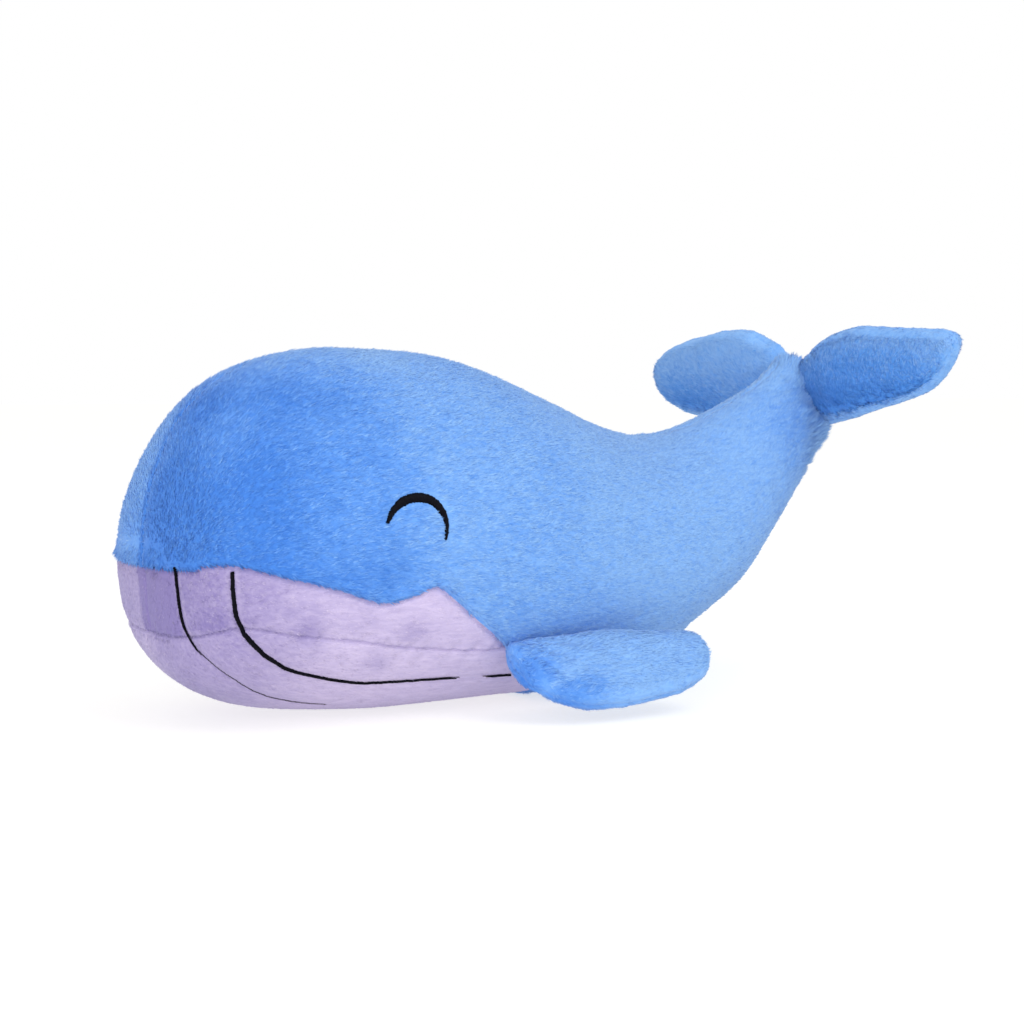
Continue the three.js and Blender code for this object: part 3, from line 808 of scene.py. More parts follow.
# %% Sizes and ribs of the limbs
FLIPPER_LENGTH = 70 * MM
FLIPPER_WIDTH = 30 * MM
FLIPPER_THICKNESS = 15.2 * MM
FLIPPER_DROOP_DEGREES = 42
FLIPPER_SPLAY_DEGREES = 8
FLIPPER_ROOT_SHARES = [0.357, 0.92, 0.198]
FLIPPER_RIB_SHARES = [
    [0, -0.2, 0, -0.2, 0],
    [0.029, -0.03, 0.02, -0.42, 0.45],
    [0.129, 0.05, 0.1, -0.65, 0.66],
    [0.286, 0.09, 0.257, -0.82, 0.84],
    [0.457, 0.08, 0.443, -0.87, 0.93],
    [0.643, 0.07, 0.643, -0.83, 0.95],
    [0.8, 0.05, 0.81, -0.73, 0.88],
    [0.935, -0.03, 0.935, -0.57, 0.66],
    [0.99, -0.28, 0.99, -0.28, 0],
]
FLUKE_SPAN = 82 * MM
LEFT_FLUKE_CHORD = 36.5 * MM
RIGHT_FLUKE_CHORD = 40.5 * MM
FLUKE_THICKNESS = 20.4 * MM
FLUKE_RISE = 4 * MM
FLUKE_LEAN_DEGREES = 15.7
FLUKE_ROLL_DEGREES = 3
FLUKE_SEAM_TILT_DEGREES = 12
LEFT_FLUKE_RIB_SHARES = [
    [0.037, 0, 0.037, 0, 0],
    [0.061, 0.27, 0.061, -0.404, 0.59],
    [0.146, 0.385, 0.146, -0.417, 0.8],
    [0.268, 0.5, 0.28, -0.38, 0.96],
    [0.427, 0.55, 0.451, -0.305, 1],
    [0.598, 0.525, 0.634, -0.232, 0.94],
    [0.756, 0.485, 0.793, -0.135, 0.8],
    [0.89, 0.45, 0.909, 0.03, 0.59],
    [0.97, 0.41, 0.976, 0.2, 0.35],
    [1, 0.31, 1, 0.31, 0],
]
RIGHT_FLUKE_RIB_SHARES = [
    [0.037, 0, 0.037, 0, 0],
    [0.061, 0.32, 0.061, -0.404, 0.59],
    [0.146, 0.45, 0.146, -0.417, 0.8],
    [0.268, 0.57, 0.28, -0.38, 0.96],
    [0.427, 0.59, 0.451, -0.32, 1],
    [0.598, 0.56, 0.634, -0.27, 0.96],
    [0.756, 0.52, 0.78, -0.21, 0.88],
    [0.885, 0.46, 0.895, -0.11, 0.72],
    [0.962, 0.36, 0.965, 0.02, 0.45],
    [0.99, 0.2, 0.99, 0.2, 0],
]


def limb_form(shares, length, width, thickness):
    return Form(
        [
            [a * length, b * width, c * length, d * width, w * thickness / 2]
            for a, b, c, d, w in shares
        ],
        0,
    )


def place_matrix(x_axis, y_axis, z_axis, origin):
    columns = [Vector(axis).normalized() for axis in (x_axis, y_axis, z_axis)]
    turned = Matrix(columns).transposed().to_4x4()
    return Matrix.Translation(origin) @ turned


# %% Where each limb sits
def points_at(place, points):
    return np.array([place @ Vector(p) for p in points])


def flipper_place(side):
    x, y, z = FLIPPER_ROOT_SHARES
    near = Vector((body_x(x), side * y * BODY_WIDTH / 2, body_z(z)))
    root = skin_tree.find_nearest(near)[0]
    splay = math.radians(FLIPPER_SPLAY_DEGREES)
    droop = math.radians(FLIPPER_DROOP_DEGREES)
    along = Vector((math.cos(splay), side * math.sin(splay), 0))
    inward = Vector((0, -side * math.cos(droop), math.sin(droop)))
    inward = (inward - along * inward.dot(along)).normalized()
    return place_matrix(along, along.cross(inward) * -side, inward, root)


def fluke_place(side):
    lean = math.radians(FLUKE_LEAN_DEGREES)
    roll = Matrix.Rotation(-math.radians(FLUKE_ROLL_DEGREES), 4, "X")
    span = Vector((0, side, 0))
    chord = Vector((-math.sin(lean), 0, math.cos(lean)))
    front = chord.cross(span) * side
    stock_end = BODY_RIB_SHARES[-2]
    middle = Vector((
        (body_x(stock_end[0]) + body_x(stock_end[2])) / 2,
        0,
        (body_z(stock_end[1]) + body_z(stock_end[3])) / 2,
    ))
    middle += chord * FLUKE_RISE
    turned = roll @ place_matrix(span, front, chord, Vector())
    return Matrix.Translation(middle) @ turned


# %% Shape one limb
LIMB_BALL_DIVISIONS = 6
NEAR_LIMB_SEAM = 2 * MM
LIMB_SEAM_DEPTH = 0.3 * MM
LIMB_PUCKER_HEIGHT = 0.5 * MM
LIMB_LUMP_HEIGHT = 0.4 * MM
RIM_NORMAL = 0.4  # on the rim the skin faces up or down by less than this


def make_limb(name, form, place, tilt_degrees, nap_and_light_of, folds_of):
    """A limb's upper and lower cloth, as two objects."""
    bm = bmesh.new()
    bmesh.ops.create_icosphere(bm, subdivisions=LIMB_BALL_DIVISIONS, radius=1)
    edge = form.upper[:, 2].max()
    tilt = math.radians(tilt_degrees)

    def fields(points):
        height = points[:, 1] * math.cos(tilt) + (points[:, 2] - edge) * math.sin(tilt)
        return height[:, None]

    def labels(points):
        return (fields(points)[:, 0] > 0,)

    def parting(above_a, above_b):
        return np.where(above_a != above_b, 0, -1)

    height = fields(form.from_ball(read_points(bm)))[:, 0]
    divide_near(bm, np.abs(height) < NEAR_LIMB_SEAM)
    bm.verts.index_update()
    sphere = slide_onto_seams(bm, form, labels, fields, parting)
    points = form.from_ball(sphere)
    normals = skin_normals(form, sphere)
    height = fields(points)[:, 0]
    seam = np.abs(height) / np.sqrt(np.maximum(1 - normals[:, 1] ** 2, LEAST_SLOPE))
    corners = np.array([[v.index for v in f.verts] for f in bm.faces])
    above = fields(points[corners].mean(axis=1))[:, 0] > 0

    world = points_at(place, points)
    move = LIMB_LUMP_HEIGHT * soft_noise(world, 16 * MM, seed=9) + folds_of(points) - PILE_SUNK
    move -= LIMB_SEAM_DEPTH * bell(seam, 0.8 * MM) + 0.3 * MM * bell(seam, 3 * MM)
    move += LIMB_PUCKER_HEIGHT * soft_noise(world, 4.5 * MM, seed=8) * bell(seam, 5 * MM)
    points = points + normals * move[:, None]
    world = points_at(place, points)
    rim = distance_to(points, points[np.abs(normals[:, 1]) < RIM_NORMAL])
    nap_and_painted_light = nap_and_light_of(points, form, height)
    nap_and_painted_light += 0.08 * soft_noise(world, 9 * MM, seed=10) + 0.08 * soft_noise(world, 3 * MM, seed=11)
    write_layers(bm, {"nap_and_painted_light": np.clip(nap_and_painted_light, 0, 1), "from_edge": seam, "from_rim": rim})
    place_points(bm, world)
    smooth_faces(bm, turned_over=place.determinant() < 0)
    made = {}
    for word, kept in (("upper", above), ("lower", ~above)):
        node = f"{name}_{word}_panel"
        made[node] = cut_out(bm, kept, f"{node}_cloth")
    bm.free()
    return made


# %% Nap, painted light and shade, and folds of the limbs
def flipper_nap_and_painted_shade(points, form, height):
    """Light along the top, with a dark fold along the front of the lower edge: painted shade in the
    fold, at the root and on the lower face.
    """
    x = points[:, 0] / FLIPPER_LENGTH
    z = points[:, 2] / FLIPPER_WIDTH
    # painted shade in the folds near the front of the root
    front_fold_shade = spot(x, z, (0.07, -0.45), (0.11, 0.24))
    lower_fold_shade = spot(x, z, (0.22, -0.74), (0.15, 0.16))
    # painted shade: the lower face is darker
    below = np.where(height > 0, 0, 0.12)
    # painted shade at the root, where the flipper meets the body
    return 0.95 - 0.62 * np.maximum(front_fold_shade, lower_fold_shade) - 0.16 * bell(x, 0.1) - below


def flipper_folds(points):
    """Small folds that fan out from where the flipper's front is sewn on."""
    x = points[:, 0]
    z = points[:, 2] + 0.1 * FLIPPER_WIDTH
    away = np.hypot(x, z)
    rays = np.cos(17 * np.arctan2(z, x) + away / (5 * MM)) * bell(away - 13 * MM, 11 * MM)
    lower_front = spot(x, z, (20 * MM, -22 * MM), (12 * MM, 9 * MM))
    upper_edge = bell(z - 3 * MM, 6 * MM) * np.cos(x / (5.5 * MM))
    return 0.4 * MM * rays + 1.2 * MM * lower_front + 0.5 * MM * upper_edge


def fluke_nap_and_painted_light(points, form, height):
    """Dark above the lower seam, and light on the rim below it and at the upper edge: partly nap, and
    partly painted light and shade.
    """
    x = points[:, 0] / FLUKE_SPAN
    top = form.upper[:, 2].max()
    low = form.lower[:, 2].min()
    rise = (points[:, 2] - low) / (top - low)
    # darker low on the face and lighter up to the upper edge: partly nap, partly painted light
    face = 0.26 + 0.45 * ease(0.35, 1, rise) + 0.22 * ease(0.75, 1, x)
    # painted light beside the upper rim, and painted shade just above the lower seam
    face += 0.2 * bell(height, 8 * MM) * (points[:, 2] > 0)
    face -= 0.16 * bell(height, 3 * MM) * (points[:, 2] < 0)
    # painted light: the lower panel faces down and is kept light
    return np.where(height > 0, face, 0.9)


def far_fluke_nap_and_painted_light(points, form, height):
    """The right fluke is light near the stock, and dark low down towards its tip: partly nap, and
    partly painted light and shade.
    """
    x = points[:, 0] / FLUKE_SPAN
    z = points[:, 2] / RIGHT_FLUKE_CHORD
    # lighter towards the upper edge and dark low towards the tip: partly nap, partly painted light and
    # shade
    face = 0.76 + 0.45 * z - 0.4 * spot(x, z, (0.72, -0.1), (0.24, 0.28))
    face -= 0.2 * bell(height, 3 * MM) * (points[:, 2] < 0)
    # painted light: the lower panel faces down and is kept light
    return np.where(height > 0, face, 0.9)


def fluke_folds(points):
    """Short gathers beside the seam that holds the fluke to the stock."""
    return 0.35 * MM * np.cos(points[:, 2] / (1.3 * MM)) * bell(points[:, 0] - 9 * MM, 7 * MM)


# %% Make the limbs
cloth = dict(panels)
places = {}
forms = {}
for word, side in (("left", -1), ("right", 1)):
    chord = LEFT_FLUKE_CHORD if side < 0 else RIGHT_FLUKE_CHORD
    fluke_shares = LEFT_FLUKE_RIB_SHARES if side < 0 else RIGHT_FLUKE_RIB_SHARES
    places[f"{word}_flipper"] = flipper_place(side)
    places[f"{word}_fluke"] = fluke_place(side)
    forms[f"{word}_flipper"] = limb_form(
        FLIPPER_RIB_SHARES, FLIPPER_LENGTH, FLIPPER_WIDTH, FLIPPER_THICKNESS)
    forms[f"{word}_fluke"] = limb_form(fluke_shares, FLUKE_SPAN, chord, FLUKE_THICKNESS)
for limb, place in places.items():
    if "flipper" in limb:
        cloth.update(make_limb(limb, forms[limb], place, 0, flipper_nap_and_painted_shade, flipper_folds))
    else:
        tilt = FLUKE_SEAM_TILT_DEGREES
        brushed = fluke_nap_and_painted_light if "left" in limb else far_fluke_nap_and_painted_light
        cloth.update(make_limb(limb, forms[limb], place, tilt, brushed, fluke_folds))
print("cloth pieces:", sorted(cloth))

# %% [markdown]
# ## The pile
#
# What makes plush look like plush is its pile: short fibres that lean along the cloth
# in the direction in which it was brushed. Each fibre clump here is a leaf of two
# triangles, folded along its middle so that it catches the light from any side. One
# leaf is made with mesh operators, and copies of it are strewn over every panel.


# %% One leaf of pile
LEAF_CORNERS = [(0, 0, 0), (0.38, -0.5, 0), (1, 0, 0), (0.38, 0.5, 0)]


def shape_of(bm):
    """Corners and triangles of a small shape that is repeated many times."""
    bm.verts.index_update()
    triangles = np.array([[v.index for v in f.verts] for f in bm.faces])
    shape = read_points(bm)
    bm.free()
    return shape, triangles


def make_leaf():
    """A unit leaf: x along it, y across it, z up."""
    bm = bmesh.new()
    corners = [bm.verts.new(place) for place in LEAF_CORNERS]
    bm.faces.new(corners)
    bmesh.ops.connect_verts(bm, verts=[corners[0], corners[2]])
    return shape_of(bm)


leaf_shape, leaf_faces = make_leaf()
print("a leaf has", len(leaf_shape), "corners and", len(leaf_faces), "triangles")


# %% Random places on a cloth
class Scatter:
    """Random places on a cloth, and the cloth's values at them."""

    def __init__(self, mesh, per_mm2, rng):
        self.mesh = mesh
        corners = np.empty(len(mesh.polygons) * 3, dtype=np.int32)
        mesh.polygons.foreach_get("vertices", corners)
        corners = corners.reshape(-1, 3)
        spots = self.vectors("co")
        a, b, c = (spots[corners[:, k]] for k in range(3))
        areas = np.linalg.norm(np.cross(b - a, c - a), axis=1) / 2
        self.total = int(areas.sum() / MM**2 * per_mm2)
        chosen = rng.choice(len(areas), size=self.total, p=areas / areas.sum())
        u, v = rng.random(self.total), rng.random(self.total)
        flip = u + v > 1
        u[flip], v[flip] = 1 - u[flip], 1 - v[flip]
        self.corners = corners[chosen]
        self.weights = np.column_stack([1 - u - v, u, v])

    def vectors(self, kind):
        values = np.empty(len(self.mesh.vertices) * 3)
        self.mesh.vertices.foreach_get(kind, values)
        return values.reshape(-1, 3)

    def vectors_here(self, kind):
        return (self.vectors(kind)[self.corners] * self.weights[:, :, None]).sum(axis=1)

    def values_here(self, name):
        """The cloth's numbers under a name, or far where it has none."""
        if name not in self.mesh.attributes:
            return np.full(self.total, FAR)
        values = np.empty(len(self.mesh.vertices))
        self.mesh.attributes[name].data.foreach_get("value", values)
        return (values[self.corners] * self.weights).sum(axis=1)


def triangle_piece(name, points, triangles, values_by_name):
    """An object of many triangles, with rows of numbers on its corners."""
    mesh = bpy.data.meshes.new(name)
    mesh.vertices.add(len(points))
    mesh.vertices.foreach_set("co", points.reshape(-1))
    mesh.loops.add(triangles.size)
    mesh.loops.foreach_set("vertex_index", triangles.reshape(-1).astype(np.int32))
    mesh.polygons.add(len(triangles))
    mesh.polygons.foreach_set("loop_start", np.arange(0, triangles.size, 3, dtype=np.int32))
    mesh.polygons.foreach_set("use_smooth", np.ones(len(triangles), dtype=bool))
    mesh.update(calc_edges=True)
    for key, values in values_by_name.items():
        layer = mesh.attributes.new(key, "FLOAT", "POINT")
        layer.data.foreach_set("value", values.astype(np.float32))
    return object_of(mesh)


def repeated(triangles, corners, count):
    """The triangles of count copies of a shape that has so many corners."""
    return (np.arange(count)[:, None, None] * corners + triangles[None]).reshape(-1, 3)


# %% Strew leaves over a panel
ROOT_DEPTH = 0.15 * MM
FOLD_DEPTH_SHARE = 0.3  # of the leaf's width
LOWEST_PILE = 0.05 * MM
NEAR_STITCHES = 5 * MM
STITCH_MARGIN = 0.1 * MM
COLLAR = (106 * MM, 117 * MM)  # here, at the end of the stock, the pile stands up
RIM = (3.2 * MM, 1 * MM)  # from here to here pile gets short and flat beside a rim


class Nap:
    """How the pile of one panel stands: length, width and margin are in mm."""

    def __init__(self, per_mm2, length, width, lift_degrees, swirl_degrees, roundness, margin, ripple):
        self.per_mm2 = per_mm2
        self.length = length * MM
        self.width = width * MM
        self.lift = math.radians(lift_degrees)
        self.swirl = math.radians(swirl_degrees)
        self.round = roundness
        self.seam_margin = margin * MM
        self.ripple = ripple


def strew(piece, style, direction_of, seed):
    """A new piece: leaves of pile on every part of another piece's cloth."""
    rng = np.random.default_rng(seed)
    spread = Scatter(piece.data, style.per_mm2, rng)
    total = spread.total
    root = spread.vectors_here("co")
    up = unit(spread.vectors_here("normal"))
    edge_distance = spread.values_here("from_edge")
    rim_distance = spread.values_here("from_rim")
    forward = direction_of(root, up, edge_distance, rim_distance)
    forward = unit(forward - up * (forward * up).sum(axis=1)[:, None])
    sideways = np.cross(up, forward)
    yaw = rng.normal(0, style.swirl, total)
    yaw += style.swirl * 1.2 * soft_noise(root, 6 * MM, seed=seed)
    forward = forward * np.cos(yaw)[:, None] + sideways * np.sin(yaw)[:, None]
    sideways = np.cross(up, forward)

    ripples = soft_noise(root * [0.5, 1, 1], 1.5 * MM, seed=seed + 1)
    shade = spread.values_here("nap_and_painted_light") + style.ripple * ripples
    collar = ease(*COLLAR, root[:, 0]) if style is BLUE_PILE else 0
    rim = ease(*RIM, rim_distance)
    lift = style.lift * rng.uniform(0.55, 1.45, total) * (1 + 0.5 * ripples)
    lift = lift * (1 + collar) * (1 - 0.45 * rim)
    length = style.length * rng.uniform(0.7, 1.25, total) * (1 + 0.35 * collar) * (1 - 0.3 * rim)
    width = style.width * rng.uniform(0.7, 1.3, total)
    reach = forward * np.cos(lift)[:, None] + up * np.sin(lift)[:, None]

    keep = np.minimum(spread.values_here("from_seams"), edge_distance) > style.seam_margin
    near = np.nonzero(spread.values_here("from_stitches") < NEAR_STITCHES)[0]
    for share in (0, 0.4, 0.8):
        at = root[near] + reach[near] * (length[near] * share)[:, None]
        keep[near] &= stitch_clearance(at) > STITCH_MARGIN
    root, up, reach, sideways, forward = (
        values[keep][:, None, :] for values in (root, up, reach, sideways, forward))
    length, width = (values[keep][:, None, None] for values in (length, width))
    along, across = leaf_shape[None, :, :1], leaf_shape[None, :, 1:2]
    leaves = root - up * ROOT_DEPTH + reach * along * length + sideways * across * width
    leaves = leaves - up * np.abs(across) * 2 * FOLD_DEPTH_SHARE * width
    leaves[:, :, 2] = np.maximum(leaves[:, :, 2], LOWEST_PILE)
    facing = up + (sideways * across * 2 + forward * (along - 0.5)) * style.round

    count, corners = leaves.shape[:2]
    pile = triangle_piece(
        piece.name.replace("_cloth", "_pile"),
        leaves.reshape(-1, 3),
        repeated(leaf_faces, corners, count),
        {
            "nap_and_painted_light": np.repeat(shade[keep], corners),
            # place along the leaf, which the plush uses to paint shade at the roots
            "tip": np.tile(leaf_shape[:, 0], count),
            "tone": np.repeat(rng.normal(0, 1, count), corners),
        },
    )
    pile.data.normals_split_custom_set_from_vertices(unit(facing.reshape(-1, 3)))
    return pile


# %% Which way each panel was brushed
def body_brush(points, normals, edge_distance, rim_distance):
    """From nose to tail, a little upwards on the forehead."""
    turned = np.tile([1.0, 0.0, 0.08], (len(points), 1))
    rise = np.clip((points[:, 0] - body_x(0.7)) / (BODY_LENGTH * 0.2), 0, 1)
    turned[:, 2] += 1.1 * rise
    at_nose = ease(-122 * MM, -128 * MM, points[:, 0]) * ease(-16 * MM, -8 * MM, points[:, 1])
    over_lip = at_nose * ease(56 * MM, 51 * MM, points[:, 2])
    return turned * (1 - over_lip)[:, None] + np.array([0.1, 0, -1]) * over_lip[:, None]


FLIPPER_RIM = (3.2 * MM, 1 * MM)
FLUKE_RIM = (6 * MM, 1 * MM)
TURNED_IN = (6 * MM, 3 * MM)
TURNED_IN_SHARE = 0.7


def beside_rim(turned, place, normals, rim_distance, rim_reach):
    """Pile beside a limb's rim lies along it, and near it turns a little inwards."""
    outward, across, _ = np.array(place.to_3x3()).T
    run = unit(np.cross(normals, across))
    run = run * np.where(run @ outward < 0, -1, 1)[:, None]
    inward = unit((normals @ across)[:, None] * across - normals)
    beside = ease(*rim_reach, rim_distance)[:, None]
    near = ease(*TURNED_IN, rim_distance)[:, None]
    return turned * (1 - beside) + run * beside + inward * near * TURNED_IN_SHARE


def flipper_brush(word, on_face):
    """Along the flipper, on both faces alike."""
    place = places[f"{word}_flipper"]
    along = unit(np.array([place.to_3x3() @ Vector((1, 0, -0.25))]))

    def brush(points, normals, edge_distance, rim_distance):
        return beside_rim(along, place, normals, rim_distance, FLIPPER_RIM)

    return brush


def fluke_brush(word, on_face):
    """Outwards, and up the face of the fluke but down its back."""
    place = places[f"{word}_fluke"]
    back = np.array(place.inverted())

    def brush(points, normals, edge_distance, rim_distance):
        local = points @ back[:3, :3].T + back[:3, 3]
        low = local[:, 2] < 0
        tufts = ease(-0.5, 0.3, soft_noise(points, 2.2 * MM, seed=12))
        tufts = tufts * ease(4.5 * MM, 2 * MM, edge_distance) * low
        out = 0.25 + 0.9 * np.clip(local[:, 0] / FLUKE_SPAN, 0, 1)
        upward = 1 - 2.2 * tufts if on_face else 1.6 * tufts - 0.4
        turned = unit(np.column_stack([out, np.zeros(len(out)), upward]))
        turned = turned @ np.array(place.to_3x3()).T
        ragged = 1.6 * MM * soft_noise(points, 2.5 * MM, seed=15)
        ragged = np.where(local[:, 2] > 0, ragged, tufts * 3 * MM)
        return beside_rim(turned, place, normals, rim_distance + ragged, FLUKE_RIM)

    return brush


# %% Pile on every panel
BLUE_PILE = Nap(
    per_mm2=3.3, length=2.3, width=0.55, lift_degrees=14, swirl_degrees=13, roundness=0.3,
    margin=0, ripple=0.26)
LAVENDER_PILE = Nap(
    per_mm2=3.6, length=1.4, width=0.42, lift_degrees=10, swirl_degrees=14, roundness=0.25,
    margin=0.3, ripple=0.2)
LIMB_PILE = Nap(
    per_mm2=3.8, length=2.5, width=0.55, lift_degrees=13, swirl_degrees=14, roundness=0.2,
    margin=0, ripple=0.24)


def family_of(node):
    """Flipper, fluke, lavender or blue: what a panel's pile and colour go by."""
    words = node.split("_")
    if "lip" in words or "belly" in words:
        return "lavender"
    return next((word for word in words if word in ("flipper", "fluke")), "blue")


piles = {}
for seed, (node, piece) in enumerate(sorted(cloth.items())):
    family = family_of(node)
    if family in ("flipper", "fluke"):
        brush_of = flipper_brush if family == "flipper" else fluke_brush
        style, brush = LIMB_PILE, brush_of(node.split("_")[0], "upper" in node)
    else:
        style, brush = (LAVENDER_PILE if family == "lavender" else BLUE_PILE), body_brush
    piles[node] = strew(piece, style, brush, seed + 20)
    print(piles[node].name, "has", len(piles[node].data.polygons), "triangles")

# %% [markdown]
# ## Satin stitch
#
# The eyes and the throat lines are machine embroidery. A satin stitch lays one thread
# beside the next, each straight across the line, so the line is a row of fine arches
# with a soft shine. One thread is a small ball drawn long and bent, repeated along
# the line.

# %% One thread, and a line of them
THREAD_RADIUS = 0.3 * MM


def make_thread():
    """A unit thread: x across the line from -1 to 1; it is bent down at both ends when it is laid."""
    bm = bmesh.new()
    bmesh.ops.create_uvsphere(bm, u_segments=6, v_segments=6, radius=1)
    bmesh.ops.rotate(bm, verts=bm.verts, matrix=Matrix.Rotation(math.pi / 2, 3, "Y"))
    bmesh.ops.triangulate(bm, faces=bm.faces)
    return shape_of(bm)


thread_shape, thread_faces = make_thread()


THREAD_RISE = 0.6 * MM
THIN_THREAD_RISE = 0.3 * MM
THIN_WIDTH = 0.3 * MM
SUNK_THREAD_DROP = 0.2 * MM
THREAD_SLANT_SHARE = 0.35
SMOOTHED_OVER = 9  # stitches


def smooth_run(values):
    """A row of values with each one averaged over its neighbours, ends kept."""
    padded = np.pad(values, SMOOTHED_OVER // 2, mode="reflect", reflect_type="odd")
    return np.convolve(padded, np.ones(SMOOTHED_OVER) / SMOOTHED_OVER, mode="valid")


def lay_stitches(name, line, seed):
    """One embroidered line as a piece of its own."""
    rng = np.random.default_rng(seed)
    spots, normals, widths = line
    forward = unit(np.gradient(spots, axis=0))
    across = unit(np.cross(forward, normals))
    seats = np.array([body_cloth_tree.find_nearest(Vector(p))[0][:] for p in spots])
    seats = np.column_stack([smooth_run(seats[:, k]) for k in range(3)])
    shown = widths > CLOSED_SHARE * widths.max()
    normals, widths, forward, across, seats = (
        values[shown] for values in (normals, widths, forward, across, seats))
    count = len(seats)
    half = widths / 2 * rng.uniform(0.96, 1.2, count)
    thickness = np.clip(widths * 0.4, THREAD_RADIUS * 0.35, THREAD_RADIUS)[:, None, None]
    slant = THREAD_SLANT_SHARE + rng.normal(0, 0.05, count)
    shift = rng.normal(0, 0.05, count) * MM
    lay = across + forward * slant[:, None]
    rise = np.where(widths < THIN_WIDTH, THIN_THREAD_RISE, THREAD_RISE)
    rise = rise - (SUNK_THREAD_DROP if name == SUNK_LINE else 0)
    bend = (0.38 * MM + 0.12 * half) * 1.6
    x, y, z = (thread_shape[None, :, k:k + 1] for k in range(3))
    parts = (seats + normals * rise[:, None] + across * shift[:, None])[:, None, :]
    parts = parts + lay[:, None, :] * x * half[:, None, None]
    parts = parts + forward[:, None, :] * y * thickness
    parts = parts + normals[:, None, :] * (z * thickness - x**2 * bend[:, None, None])
    corners = len(thread_shape)
    tone = np.repeat(rng.normal(0, 1, count), corners)
    triangles = repeated(thread_faces, corners, count)
    piece = triangle_piece(f"{name}_threads", parts.reshape(-1, 3), triangles, {"tone": tone})
    bm = bmesh.new()
    bm.from_mesh(piece.data)
    bmesh.ops.recalc_face_normals(bm, faces=bm.faces)
    bm.to_mesh(piece.data)
    bm.free()
    return piece


body_cloth_tree = BVHTree.FromPolygons(cloth_points.tolist(), faces)
stitching = {}
for seed, (node, line) in enumerate(stitch_lines.items()):
    stitching[node] = lay_stitches(node, line, seed)
print("stitching:", sorted(stitching))

# %% [markdown]
# ## Filling
#
# Inside the cloth is loose polyester fibre. Nobody sees it, but the toy has it, so each
# stuffed form keeps a lumpy white core that stands clear of its cloth.

# %% Lumpy cores
FILLING_DIVISIONS = 5
FILLING_CLEARANCE = 3.6 * MM
LIMB_FILLING_CLEARANCE = 2.6 * MM


def make_filling(name, form, place, clearance):
    bm = bmesh.new()
    bmesh.ops.create_icosphere(bm, subdivisions=FILLING_DIVISIONS, radius=1)
    sphere = read_points(bm)
    points = form.from_ball(sphere)
    normals = skin_normals(form, sphere)
    lumps = soft_noise(points, 7 * MM, seed=14) * 0.5 * MM - 0.5 * MM
    points = points + normals * (lumps - clearance)[:, None]
    place_points(bm, points_at(place, points))
    smooth_faces(bm, turned_over=place.determinant() < 0)
    return new_piece(f"{name}_fibre", bm)


whole = Matrix.Identity(4)
fillings = {"body_filling": make_filling("body_filling", body_form, whole, FILLING_CLEARANCE)}
for limb, form in forms.items():
    name = f"{limb}_filling"
    fillings[name] = make_filling(name, form, places[limb], LIMB_FILLING_CLEARANCE)
print("fillings:", sorted(fillings))

# %% [markdown]
# ## Materials
#
# The plush is one recipe in three colours. Its colour runs from a deep tone to a light
# one with the nap and the light and shade painted into it, fine streaks follow the pile,
# the tips of the leaves are lighter than their roots as painted shade deep in the pile,
# and a sheen lights the cloth where it turns away, as velvet does.


# %% The plush recipe
def colour(hex_words):
    """A colour as it looks on a screen becomes the linear colour that Blender uses."""
    parts = [int(hex_words[i:i + 2], 16) / 255 for i in (0, 2, 4)]
    linear = [p / 12.92 if p <= 0.04045 else ((p + 0.055) / 1.055) ** 2.4 for p in parts]
    return (*linear, 1)


def new_material(name):
    """A material, its tree and its shader."""
    material = bpy.data.materials.new(name)
    material.use_nodes = True
    return material, material.node_tree, material.node_tree.nodes["Principled BSDF"]


def set_inputs(node, values):
    for name, value in values.items():
        node.inputs[name].default_value = value


def node_of(tree, kind, **values):
    made = tree.nodes.new(kind)
    for key, value in values.items():
        setattr(made, key, value)
    return made


def attribute_of(tree, name):
    return node_of(tree, "ShaderNodeAttribute", attribute_name=name).outputs["Fac"]


def noise_of(tree, vector, **inputs):
    made = node_of(tree, "ShaderNodeTexNoise")
    set_inputs(made, inputs)
    tree.links.new(vector, made.inputs["Vector"])
    return made.outputs["Fac"]


def combine(tree, operation, a, b, clamp=False):
    made = node_of(tree, "ShaderNodeMath", operation=operation, use_clamp=clamp)
    for socket, value in zip(made.inputs, (a, b)):
        if isinstance(value, (int, float)):
            socket.default_value = value
        else:
            tree.links.new(value, socket)
    return made.outputs[0]


def tint(tree, level, shader, *hex_words):
    """The shader's colour runs through evenly spaced colours with a level."""
    ramp = node_of(tree, "ShaderNodeValToRGB")
    stops = ramp.color_ramp.elements
    stops[0].color = colour(hex_words[0])
    stops[1].color = colour(hex_words[-1])
    for k, hex_word in enumerate(hex_words[1:-1], 1):
        stops.new(k / (len(hex_words) - 1)).color = colour(hex_word)
    tree.links.new(level, ramp.inputs["Fac"])
    tree.links.new(ramp.outputs["Color"], shader.inputs["Base Color"])


